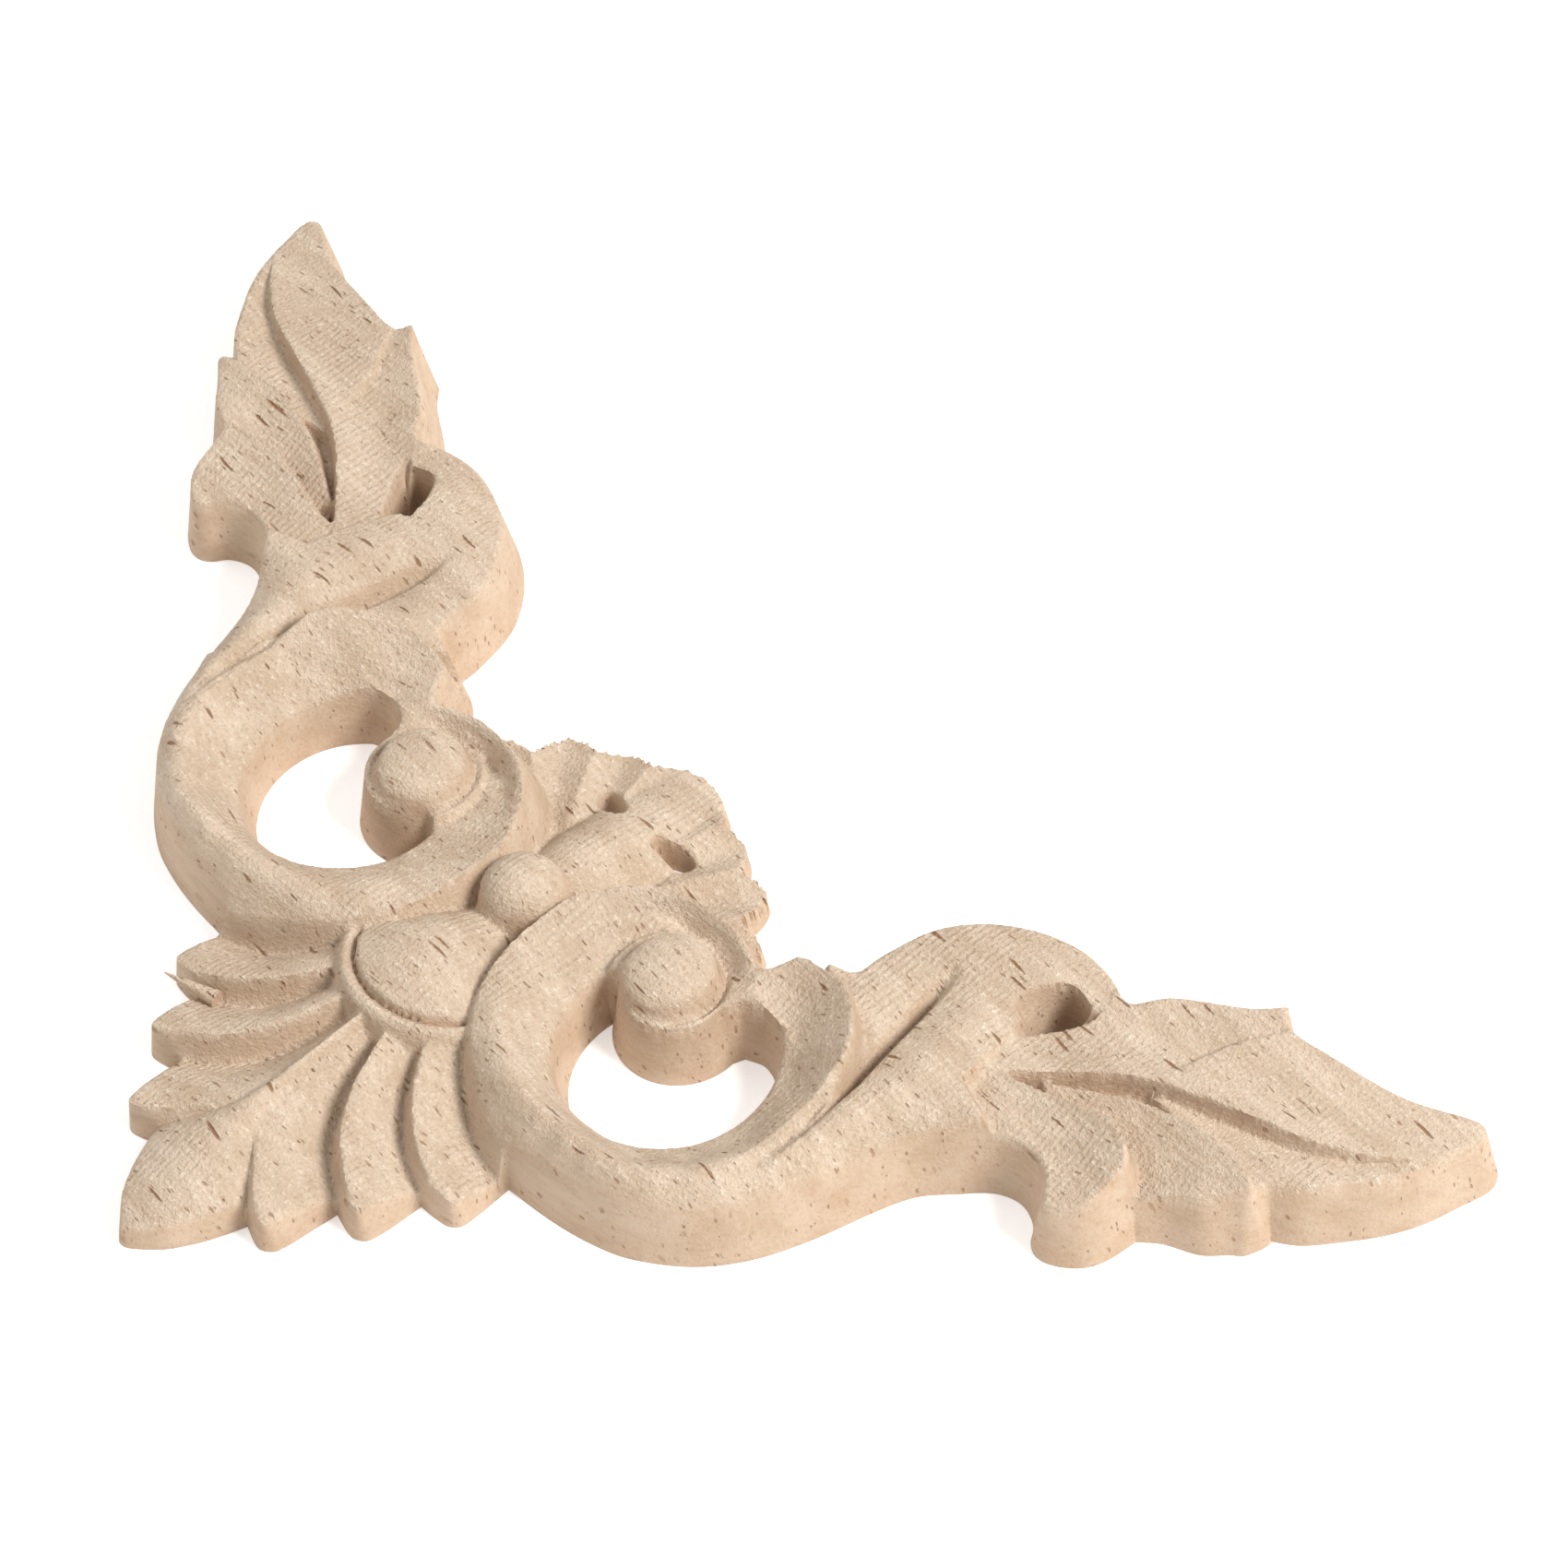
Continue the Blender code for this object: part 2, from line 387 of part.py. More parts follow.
# First onto the edges of the forms
p, heights, reach, feet = relief(plan)
order = np.argsort(reach, axis=0)
moved = plan.copy()
done = np.zeros(len(plan), bool)
rows = np.arange(len(plan))
for rank in range(3):
    i = order[rank]
    foot = feet[i, rows]
    close = (reach[i, rows] < SNAP_REACH * cell) & ~done
    others = relief(foot[close])[1]
    own = others[i[close], np.arange(close.sum())].copy()
    others[i[close], np.arange(close.sum())] = -9
    stands = own - np.maximum(others.max(0), FLOOR) > 0.2
    chosen = np.flatnonzero(close)[stands]
    target = feet[i[chosen], chosen]
    flip = plan[chosen, 0] < plan[chosen, 1]
    target[flip] = target[flip][:, ::-1]
    moved[chosen] = target
    done[chosen] = True


# Then onto the line where the top meets the outer wall
def wall_gap(points):
    """How far the wall plane stands over the top, the way inward, the distance in, and the top."""
    top = total_height(points)
    lowest = np.full(len(points), 1e9)
    signed = np.ones(len(points))
    slope = np.ones(len(points))
    inward = np.zeros_like(points)
    for line, keep_inside, steep in cuts:
        d, foot, inside = nearest(points, [line])
        depth = np.where(inside == keep_inside, d, -d)
        depth = np.where(np.abs(depth) < 1e-6, 1e-6, depth)
        first = depth * steep < lowest
        lowest[first] = (depth * steep)[first]
        signed[first] = depth[first]
        slope[first] = steep
        inward[first] = ((points - foot) / depth[:, None])[first]
    return lowest - top, inward, signed, top, slope


foot_layer = bm.verts.layers.float_vector.new("foot")
gap, inward, depth, top, slope = wall_gap(moved)
on_top = gap > -SNAP_REACH * cell * slope
place = dict(zip(index.tolist(), range(len(index))))
outside = []
for v in bm.verts:
    k = place.get(v.index)
    if k is None or not on_top[k]:
        outside.append(v)
        continue
    v.co = (moved[k, 0], moved[k, 1], 0)
bmesh.ops.delete(bm, geom=outside, context='VERTS')


def drop_loose():
    """Delete the corners that no face uses."""
    loose = [v for v in bm.verts if not v.link_faces]
    if loose:
        bmesh.ops.delete(bm, geom=loose, context='VERTS')


# Corners where two patches touch only at a point are opened by taking their faces away
drop_loose()
for _ in range(6):
    pinched = [v for v in bm.verts if sum(e.is_boundary for e in v.link_edges) > 2]
    single = [f for f in bm.faces if sum(e.is_boundary for e in f.edges) > 2]
    faces = {f for v in pinched for f in v.link_faces} | set(single)
    if not faces:
        break
    bmesh.ops.delete(bm, geom=list(faces), context='FACES')
    drop_loose()

bm.verts.ensure_lookup_table()
moved = np.array([v.co[:2] for v in bm.verts])
border = np.array([v.is_boundary for v in bm.verts])
links = [[e.other_vert(v).index for e in v.link_edges if e.is_boundary] for v in bm.verts]
loop = np.array([i for i, near in enumerate(links) if len(near) == 2])
loop_links = np.array([links[i] for i in loop])
gap, inward, depth, top, slope = wall_gap(moved)
border |= gap < 0
for turn in range(6):
    moved[border] -= (gap[border] / slope[border])[:, None] * inward[border]
    if turn in (1, 3):
        moved[loop] = (moved[loop] * 2 + moved[loop_links[:, 0]] + moved[loop_links[:, 1]]) / 4
    gap[border], inward[border], depth[border], top[border], slope[border] = wall_gap(moved[border])
feet = moved - inward * depth[:, None]
for _ in range(2):
    feet[loop] = (feet[loop] * 2 + feet[loop_links[:, 0]] + feet[loop_links[:, 1]]) / 4
for v, xy, z, base in zip(bm.verts, moved, top, feet):
    v.co = (xy[0], xy[1], z)
    v[foot_layer] = (base[0], base[1], 0) if v.is_boundary else (xy[0], xy[1], 0)

# The sweep of the cutter rounds the relief a little
for _ in range(SWEEPS):
    bmesh.ops.smooth_vert(bm, verts=[v for v in bm.verts if not v.is_boundary], factor=0.5,
                          use_axis_x=False, use_axis_y=False, use_axis_z=True)

# Each square is split along its higher diagonal, so that crests stay whole
for f in list(bm.faces):
    a, b, c, d = f.verts
    if a.co.z + c.co.z >= b.co.z + d.co.z:
        bmesh.utils.face_split(f, a, c)
    else:
        bmesh.utils.face_split(f, b, d)

# The outer wall down to the flat back, and the back itself
result = bmesh.ops.extrude_face_region(bm, geom=list(bm.faces), use_keep_orig=True)
for v in [g for g in result['geom'] if isinstance(g, bmesh.types.BMVert)]:
    v.co = v[foot_layer]
bmesh.ops.recalc_face_normals(bm, faces=bm.faces)
bmesh.ops.translate(bm, vec=(-DRAWING_CENTRE, -DRAWING_CENTRE, 0), verts=bm.verts)
bmesh.ops.scale(bm, vec=(UNIT, UNIT, UNIT), verts=bm.verts)
mesh = bpy.data.meshes.new("corner_onlay")
bm.to_mesh(mesh)
bm.free()

onlay = bpy.data.objects.new("corner_onlay", mesh)
group = bpy.data.collections.new("corner_onlay")
bpy.context.scene.collection.children.link(group)
group.objects.link(onlay)
thin = onlay.modifiers.new("thin out", 'DECIMATE')
thin.ratio = min(1.0, MAX_TRIANGLES / sum(len(f.vertices) - 2 for f in mesh.polygons))

wood = bpy.data.materials.new("pale rubberwood")
wood.use_nodes = True
shader = wood.node_tree.nodes["Principled BSDF"]
shader.inputs["Base Color"].default_value = (0.74, 0.55, 0.38, 1)
shader.inputs["Roughness"].default_value = 0.75
mesh.materials.append(wood)
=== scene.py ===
"""Carved wooden corner onlay, seen as in the photo, on a plain pale floor."""
import bpy
import bmesh
import math
import numpy as np
from mathutils import Matrix, Vector


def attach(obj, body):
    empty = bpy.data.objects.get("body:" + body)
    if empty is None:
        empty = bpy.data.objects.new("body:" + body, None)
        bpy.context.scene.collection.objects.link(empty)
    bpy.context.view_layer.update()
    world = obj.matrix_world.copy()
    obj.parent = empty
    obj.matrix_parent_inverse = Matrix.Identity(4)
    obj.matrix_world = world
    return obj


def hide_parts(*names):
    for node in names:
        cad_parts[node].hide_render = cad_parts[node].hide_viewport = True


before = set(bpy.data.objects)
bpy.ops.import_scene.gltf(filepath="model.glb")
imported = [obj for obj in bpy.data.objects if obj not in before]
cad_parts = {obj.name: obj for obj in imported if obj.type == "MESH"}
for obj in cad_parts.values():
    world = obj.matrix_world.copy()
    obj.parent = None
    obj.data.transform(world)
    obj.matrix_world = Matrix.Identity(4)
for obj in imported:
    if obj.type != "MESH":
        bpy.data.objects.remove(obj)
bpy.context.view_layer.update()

# The onlay: one block of pale rubberwood, cut from above by a tapered cutter on a router. Its outlines
# are the CAD solid's, on a much finer grid, with deeper grooves, one more groove inside the rim of the
# ring, and ground under the lobes of the end leaf.
ARM_LENGTH = 0.100
GRID_CELL = 0.00020
DRAWING_SPAN = 103.56
UNIT = ARM_LENGTH / DRAWING_SPAN
DRAWING_CENTRE = 49.396
WALL_STEEPNESS = 5.5        # rise over run of the tapered cutter on the outer walls
HOOK_STEEPNESS = 14.0       # the same in the small hole in the hook
STEP_STEEPNESS = 2.8        # the same on the steps inside the relief
FILLET_SHARPNESS = 7.0      # how sharply two forms meet in a valley, per drawing unit
SNAP_REACH = 0.5            # share of a cell over which a grid corner moves onto an edge
SNAP_FORMS = 3              # nearest forms whose edges are tried for it
LEAST_STEP = 0.2            # drawing units by which a form stands out where its edge is kept
SWEEPS = 1                  # rounds of smoothing of the heights

# Curves and distances in plan
def curve(points, closed=False, steps=5):
    """Smooth curve through the points; a point given with a fourth value is a sharp corner."""
    pts = np.array([p[:2] for p in points], float)
    sharp = [len(p) > 2 for p in points]
    count = len(pts)
    out = []
    for i in range(count if closed else count - 1):
        a = pts[i]
        b = pts[(i + 1) % count]
        before = pts[i - 1] if (closed or i > 0) and not sharp[i] else None
        after = pts[(i + 2) % count] if (closed or i + 2 < count) and not sharp[(i + 1) % count] else None
        start = (b - before) / 2 if before is not None else b - a
        end = (after - a) / 2 if after is not None else b - a
        for k in range(steps):
            t = k / steps
            out.append(a * (2 * t**3 - 3 * t**2 + 1) + start * (t**3 - 2 * t**2 + t)
                       + b * (3 * t**2 - 2 * t**3) + end * (t**3 - t**2))
    if not closed:
        out.append(pts[-1])
    return np.array(out)


def arc(centre, radius, start, stop, count):
    """Points of a circle between two angles in degrees."""
    angle = np.radians(np.linspace(start, stop, count))
    return np.stack([centre[0] + radius * np.cos(angle), centre[1] + radius * np.sin(angle)], -1)


def nearest(points, lines):
    """Distance to the closed outlines, nearest point on them, and whether each point is inside."""
    best = np.full(len(points), 1e9)
    foot = np.zeros_like(points)
    inside = np.zeros(len(points), bool)
    for line in lines:
        for a, b in zip(line, np.roll(line, -1, axis=0)):
            ab = b - a
            t = np.clip(((points - a) @ ab) / max(ab @ ab, 1e-12), 0, 1)
            q = a + t[:, None] * ab
            d = ((points - q)**2).sum(-1)
            closer = d < best
            best[closer] = d[closer]
            foot[closer] = q[closer]
            if a[1] != b[1]:
                crossing = (a[1] > points[:, 1]) != (b[1] > points[:, 1])
                at = a[0] + (points[:, 1] - a[1]) / (b[1] - a[1]) * ab[0]
                inside ^= crossing & (points[:, 0] < at)
    return np.sqrt(best), foot, inside


def surface(spots):
    """Smooth sheet through spot heights given as x, y, z."""
    data = np.array(spots, float)
    xy = data[:, :2]

    def kernel(r2):
        return 0.5 * r2 * np.log(r2 + 1e-9)

    n = len(xy)
    system = np.zeros((n + 3, n + 3))
    system[:n, :n] = kernel(((xy[:, None] - xy[None])**2).sum(-1)) + 0.02 * np.eye(n)
    system[:n, n] = 1
    system[:n, n + 1:] = xy
    system[n, :n] = 1
    system[n + 1:, :n] = xy.T
    weights = np.linalg.solve(system, np.concatenate([data[:, 2], np.zeros(3)]))

    def height(p):
        total = weights[n] + p @ weights[n + 1:]
        for k in range(n):
            total = total + weights[k] * kernel(((p - xy[k])**2).sum(-1))
        return total
    return height


def mirrored(line):
    """The same line on the other half of the onlay."""
    return line[::-1, ::-1]


# The outline on the flat back, one half of the onlay, from the corner round the arm to the inside
half = np.concatenate([
    curve([(-0.1, -0.1), (1.8, -0.3), (3.4, -0.3), (4.9, 0), (6.3, 0.4), (7.8, 1.0), (9.3, 1.7, 1),
           (10.1, 0), (11.0, -0.8), (12.4, -0.1), (13.8, 1.0), (15.9, 2.7, 1),
           (16.9, 1.0), (18.0, 0.2), (19.8, 1.3), (22.1, 3.4, 1),
           (23.4, 2.2), (24.9, 1.4), (26.6, 2.8), (28.5, 4.9, 1),
           (31.8, 2.1), (34.9, 0), (38, -1.4), (42.5, -2.1), (46.9, -1.5), (51.3, 0.3), (55.7, 2.7),
           (58.7, 4.0), (61.6, 4.25), (64.4, 4.3), (66.4, 3.3), (67.3, 1.4),
           (67.1, -0.6), (68.2, -1.9), (70.6, -2.4), (72.6, -1.8), (74.8, -0.1, 1),
           (76.8, -0.3), (79.5, -1.3), (81.8, -1.3), (84.0, -1.8, 1), (84.6, -0.1, 1),
           (86.8, -0.5), (89.7, -0.2), (92.7, 0.3), (95.6, 1.3), (98.4, 2.9), (100.5, 4.2),
           (101.3, 5.6), (100.2, 7.4), (96.2, 8.7), (93.6, 10.0), (90.9, 11.9), (88.2, 13.8),
           (87.3, 14.6, 1), (87.6, 15.9), (86.4, 16.9), (83.6, 17.0), (80.5, 17.7), (77.5, 18.2),
           (74.9, 17.9, 1), (73.9, 20.1), (71.4, 22.9), (67.6, 24.9), (63.4, 25.6), (59.2, 24.9),
           (55.6, 22.7), (53.9, 21.2, 1), (52.0, 22.2), (50.0, 22.4), (47.5, 21.5, 1),
           (47.0, 23.2), (46.3, 24.7, 1), (46.8, 25.6), (46.1, 26.9), (45.2, 27.8, 1),
           (46.3, 29.2), (46.8, 30.6), (46.3, 31.9), (45.1, 32.9, 1), (45.2, 34.7), (44.7, 36.3),
           (43.6, 37.4, 1), (43.4, 38.9), (42.9, 40.5), (42.0, 42.0, 1)]),
])
RING_CENTRE = (40.1, 14.0)
BUTTON_CENTRE = (40.5, 19.5)
scroll_hole = np.concatenate([
    arc(RING_CENTRE, 7.75, 128, 365, 44),
    curve([(47.6, 15.2), (46.9, 16.1), (45.5, 16.7)], steps=3),
    arc(BUTTON_CENTRE, 5.2, -38, -186, 26),
])
hook_hole = curve([(66.9, 15.5, 1), (67.6, 16.9), (68.8, 18.0), (70.2, 18.0), (71.2, 16.7, 1)],
                  closed=True)
palmette_hole = curve([(38.3, 35.0), (39.4, 33.8), (40.1, 33.4), (40.7, 33.9), (39.9, 34.6)], closed=True)
outline = np.concatenate([half, mirrored(half)[1:]])
cuts = [(outline, True, WALL_STEEPNESS)]
for hole, steep in ((scroll_hole, WALL_STEEPNESS), (hook_hole, HOOK_STEEPNESS),
                    (palmette_hole, WALL_STEEPNESS)):
    cuts += [(hole, False, steep), (mirrored(hole), False, steep)]

# Forms of the relief: each has an outline in plan and a height over it
forms = []


def form(edge, height, steep=STEP_STEEPNESS):
    """Add a form: its outline, its height over it, and how steeply it falls away outside it."""
    forms.append((edge, height, steep))


# Shell fan: the middle petal and three blades on each side
BELL = (23.1, 23.1)
PETAL_EDGES = [curve([(10.4, -2.0), (10.2, 1.0), (10.0, 4.0), (9.9, 6.0), (10.1, 8.0), (10.9, 10.0),
                      (12.0, 11.9), (15.6, 17.0), (18, 19)]),
               curve([(17.4, -1.0), (17.0, 2.8), (16.4, 5.5), (16.3, 7.6), (16.6, 9.6), (17.1, 11.6),
                      (18.0, 13.6), (19.4, 16.6)]),
               curve([(23.6, 0.0), (22.8, 3.9), (21.9, 6.3), (21.5, 8.5), (21.4, 10.9), (21.7, 13.0),
                      (22.3, 16.0)]),
               curve([(30.0, 3.0), (28.6, 5.0), (27.2, 8.0), (26.2, 11.0), (26.0, 15.0)])]


def petal_height(p):
    s = (p[:, 0] + p[:, 1]) / np.sqrt(2)
    t = (p[:, 0] - p[:, 1]) / np.sqrt(2)
    ridge = np.interp(s, [-1, 3, 8, 14, 22], [1.3, 3.0, 4.6, 5.3, 5.7])
    width = np.interp(s, [0, 3, 7, 10, 13, 16, 20], [2.6, 4.0, 5.4, 4.6, 2.4, 1.2, 1.0])
    return ridge - (ridge - 1.9) * np.minimum(t / width, 1.6)**2


def blade_height(index):
    left = PETAL_EDGES[index]
    right = PETAL_EDGES[index + 1]
    tip, root = ((3.9, 5.4), (3.7, 5.4), (2.9, 5.2))[index]
    low_tip, low_root = ((1.2, 3.2), (1.1, 3.2), (1.0, 3.4))[index]

    def height(p):
        def distance(line):
            gaps = [((p - q)**2).sum(-1) for q in line]
            return np.sqrt(np.min(gaps, axis=0))
        across = distance(left)
        across = across / (across + distance(right) + 1e-6)
        out = np.clip((np.hypot(p[:, 0] - BELL[0], p[:, 1] - BELL[1]) - 8.5) / 13.5, 0, 1.3)
        high = root + (tip - root) * out**1.2
        low = low_root + (low_tip - low_root) * np.minimum(out * 2.2, 1.0)
        return high - (high - low) * np.minimum(across * 1.08, 1.0)**1.5
    return height


form(curve([(-3, -3, 1), (6, -3, 1), (12.5, 0), (11.5, 6), (12, 9), (13, 11.5), (17.5, 16.2, 1),
            (19, 19, 1), (-3, -3, 1)], closed=False)[:-1], petal_height, 2.0)
for number in range(3):
    form(np.concatenate([PETAL_EDGES[number], (PETAL_EDGES[number + 1] + (1.2, 0))[::-1]]),
         blade_height(number))


# Collar and bell
def bell_height(p):
    s = (p[:, 0] + p[:, 1]) / np.sqrt(2)
    t = (p[:, 0] - p[:, 1]) / np.sqrt(2)
    r = np.hypot(p[:, 0] - BELL[0], p[:, 1] - BELL[1])
    width = np.interp(s, [26, 30, 33, 36, 39], [7.2, 6.3, 4.7, 3.9, 3.4])
    side = np.minimum(np.abs(t) / width, 1.3)**2
    dome = np.interp(s, [24, 26, 28.5, 31, 34, 37, 40], [5.6, 6.8, 7.5, 7.6, 6.9, 5.3, 4.4]) - 2.2 * side
    rim = 6.5 - 0.9 * ((r - 7.75) / 0.75)**2 - 0.9 * side
    return np.where(r < 6.9, np.maximum(dome, rim), rim)


form(arc(BELL, 8.35, 0, 354, 60), bell_height)
BALL = (28.5, 28.5)
BALL_RADIUS = 3.5
form(arc(BALL, BALL_RADIUS, 0, 352, 45),
     lambda p: 4.9 + np.sqrt(np.maximum(BALL_RADIUS**2 - ((p - BALL)**2).sum(-1), 0)), 6)


# Palmette on the inside of the corner
def palmette_height(p):
    s = (p[:, 0] + p[:, 1]) / np.sqrt(2)
    t = (p[:, 0] - p[:, 1]) / np.sqrt(2)
    angle = np.degrees(np.arctan2(p[:, 1] - BALL[1], p[:, 0] - BALL[0]))
    r = np.hypot(p[:, 0] - BALL[0], p[:, 1] - BALL[1])
    hump = (np.interp(s, [40, 43, 47, 50, 53, 56, 60], [4.6, 5.3, 5.2, 4.6, 3.6, 2.9, 2.4])
            - np.interp(s, [42, 50, 54, 58], [0.16, 0.14, 0.08, 0.02]) * t**2)
    lobe = np.interp(angle, [-20, -2.4, 14.9, 30.5, 59.5], [0, 1, 2, 3, 4])
    flute = np.abs(2 * (lobe - np.floor(lobe)) - 1)**1.5
    skirt = 2.0 + 0.9 * flute * np.clip((r - 7) / 6, 0, 1)
    return np.maximum(hump, skirt)


form(curve([(27, 27, 1), (47, 24, 1), (50, 30, 1), (46, 46, 1)], closed=True), palmette_height)

# Scroll ring: spot heights on its outer edge, its crest and its inner edge
ring_edge = curve([(47.2, 17.5), (46.6, 20.3), (46.1, 21.8), (44.8, 24.0), (42.8, 25.9), (40.1, 27.5),
                   (37.2, 28.0), (34.2, 27.5), (31.6, 26.4), (28.1, 22.6), (26.4, 19.6), (25.6, 16.6),
                   (25.6, 13.5), (26.4, 10.0), (27.7, 6.6), (30.2, 3.0), (34, -2), (42, -4),
                   (50, -3), (52.0, 2.0, 1), (50.3, 4.6), (51.9, 6.2), (52.5, 9), (50, 14)], closed=True)
ring_spots = [(46.4, 20.3, 6.3), (44.5, 24.2, 6.5), (42.6, 26, 6.7), (40, 27.4, 6.9), (37.2, 28, 7.0),
              (33.6, 27.4, 7.0), (30.1, 25.1, 7.0), (28.1, 22.6, 6.9), (26.6, 20.1, 6.7), (25.8, 16.6, 6.5),
              (25.8, 13.5, 6.0), (26.7, 10.0, 5.4), (28.2, 6.9, 4.9), (30.9, 4.0, 4.8), (33.8, 1.6, 4.8),
              (37, -0.4, 4.9), (41, -1.3, 5.0), (44, -1.3, 5.0), (47, -0.7, 5.1), (50, 0.5, 5.2),
              (27.2, 16.5, 7.1), (27.6, 13.0, 7.2), (28.5, 10.6, 7.3), (29.6, 8.4, 7.35), (31.2, 6.2, 7.4),
              (33.3, 3.9, 7.5), (35.2, 2.3, 7.5), (37.5, 1.1, 7.6), (40.2, 0.5, 7.65), (43.2, 0.45, 7.7),
              (46, 1.0, 7.8), (48.3, 2.4, 7.9), (50.3, 4.2, 8.1),
              (31.5, 14, 5.1), (32.0, 11.0, 5.0), (33.4, 8.6, 4.8), (36.0, 6.3, 4.6), (40.1, 5.4, 4.5),
              (44.0, 6.2, 4.5), (46.6, 8.2, 4.6), (48.4, 11, 4.7),
              (32.0, 17.5, 5.0), (33.6, 20.2, 5.0), (35.8, 22.2, 5.0),
              (29.4, 14, 6.4), (30.2, 20, 6.2), (32.6, 24, 6.1), (37.5, 26.0, 5.9), (41.2, 25.4, 5.6),
              (38.2, 24.3, 5.1), (43.6, 23.4, 5.4), (42.6, 23.2, 5.0), (44.6, 20.6, 5.6), (44.0, 18.4, 5.5),
              (45.6, 17.8, 5.9), (37.4, 27.3, 6.7), (34.2, 26.8, 6.7), (40.3, 26.6, 6.5), (43.1, 25.1, 6.2),
              (45.2, 22.6, 6.1), (45.9, 20.5, 6.2),
              (38.6, 3.2, 6.2), (42.5, 3.0, 6.2), (46.6, 4.4, 6.4), (49.3, 7.2, 6.8)]
form(ring_edge, surface(ring_spots))

# Eye of the scroll: a post standing in the hole, with a dome on it
form(arc(BUTTON_CENTRE, 5.2, 0, 350, 36), lambda p: np.full(len(p), 5.75))
DOME_CENTRE = (40.3, 20.0)
form(arc(DOME_CENTRE, 3.75, 0, 350, 36),
     lambda p: 6.1 + 1.9 * np.sqrt(np.maximum(1 - ((p - DOME_CENTRE)**2).sum(-1) / 3.85**2, 0)), 3)

# Curled inner leaf with its raised rim
leaf_rim = [(46.6, 20.1, 6.5), (47.6, 20.8, 6.8), (49.3, 21.1, 7.1), (50.6, 20.5, 7.4), (52.0, 19.2, 7.8),
            (53.2, 17.9, 8.3), (53.9, 16.0, 8.8), (54.2, 14.2, 9.1), (54.15, 12.3, 9.3), (53.7, 10.0, 9.2),
            (52.9, 8.0, 8.9), (51.9, 6.2, 8.5), (50.3, 4.6, 8.1), (48.3, 2.9, 7.8)]
form(np.concatenate([curve([p[:2] for p in leaf_rim]), [(46, 6), (45.5, 12)], [(45, 16.4)]]),
     surface(leaf_rim + [(48.9, 9.5, 5.2), (48.9, 12.9, 5.0), (48.2, 15.4, 5.2), (46.6, 17.4, 5.6),
                         (47.0, 7.4, 4.7), (50.0, 18.0, 6.3), (51.2, 14.5, 6.9), (51.0, 10.5, 6.9),
                         (45.2, 5.6, 4.6)]), 4.5)

# Stem: the inner band on the far side of the groove, then the outer band in front of it
form(curve([(48.6, 2.6, 1), (52, 6.6), (56, 11.8), (60.4, 18.0), (62.5, 18.6, 1), (64.5, 16.9, 1),
            (65.6, 16.9), (67.6, 18.2), (69.6, 18.3), (71.5, 16.6), (74.5, 16.5, 1), (74.6, 20), (70, 26),
            (60, 28), (52, 22, 1), (52, 12)], closed=True),
     surface([(50.6, 5.0, 6.9), (53.4, 8.9, 6.5), (56.2, 12.8, 6.2), (58.6, 16.4, 6.0), (60.4, 18.9, 6.3),
              (52.6, 6.9, 6.7), (55.2, 14, 6.6), (55.4, 18, 6.8), (54.4, 19.6, 6.5), (57.4, 18.6, 6.6),
              (57.0, 22.3, 6.4), (60, 23.6, 6.5), (60.5, 21.0, 6.8), (63.5, 23.9, 6.6), (63.4, 20.4, 7.0),
              (67.2, 22.7, 6.6), (66.0, 19.4, 7.0), (70.2, 20.8, 6.6), (72.5, 18.2, 6.4), (73.6, 16.5, 6.4),
              (69.0, 19.6, 6.9), (65.5, 17.0, 6.7), (71.6, 16.9, 6.3)]))
form(curve([(47.0, 1.8, 1), (50.1, 4.35), (52.0, 6.75), (54.0, 9.2), (55.9, 12.0), (57.9, 14.9),
            (59.9, 17.8), (61.9, 20.2, 1), (65.0, 18.5), (66.3, 15.8, 1), (65.4, 13.8), (64.5, 12.3),
            (63.1, 10.4), (62.2, 9.2, 1), (62.9, 7.6), (63.6, 6.2), (64.0, 4.6, 1), (64.6, 1, 1),
            (47, -4, 1)], closed=True),
     surface([(50.1, 4.4, 7.5), (52, 6.8, 7.3), (54, 9.3, 7.1), (55.9, 12, 6.9), (57.9, 15, 6.6),
              (59.9, 17.8, 6.4), (61.9, 20.2, 6.9), (49.2, 2.6, 7.9), (51.5, 3.9, 7.9), (54.0, 5.6, 8.0),
              (57, 8.2, 8.0), (60, 11.5, 8.0), (62.6, 15.0, 7.5), (64.2, 17.8, 6.9), (47.6, -0.6, 5.1),
              (50.8, 0.9, 5.2), (52.8, 2.0, 5.3), (54.8, 3.2, 5.5), (56.8, 4.3, 5.8), (58.8, 5.0, 6.3),
              (61.4, 5.3, 6.9), (63.4, 5.4, 7.7), (59, 7.2, 7.7), (61.2, 7.2, 7.8), (62.2, 9.0, 7.7),
              (64.2, 12.0, 7.2), (65.9, 15.0, 6.6)]))

# End leaf: ground under its lobes, strip beside the upper lobe, main blade, then the two lower lobes
form(curve([(67.0, 9.6), (73.0, 11.2), (80.0, 10.2), (86.0, 6.6), (85.0, 5.2), (78.0, 6.8), (71.0, 8.0)],
           closed=True), lambda p: np.full(len(p), 4.5))
form(curve([(62, 10.9, 1), (70, 10.6), (76, 9.6), (84, 5.8), (89, 5, 1), (89, 18, 1), (74, 19, 1),
            (72, 15.8), (68, 14.6), (64, 14, 1)], closed=True),
     surface([(64.5, 12.6, 6.5), (66.5, 14.9, 5.9), (71.6, 16.0, 6.1), (73.8, 16.6, 6.5), (76, 16.8, 6.9),
              (78.5, 16.5, 7.0), (81, 16.1, 7.1), (83, 16.0, 7.4), (85, 15.9, 7.6), (86.4, 14.6, 7.3),
              (86.2, 13.4, 6.8), (68.0, 13.2, 5.9), (72, 13.6, 6.0), (76, 13.8, 6.1), (80, 13.4, 6.2),
              (83, 13.6, 6.5), (67.0, 11.4, 6.3), (71, 11.2, 6.5), (75, 10.5, 6.7), (79, 9.6, 6.7),
              (84, 8, 6.2)]), 5)
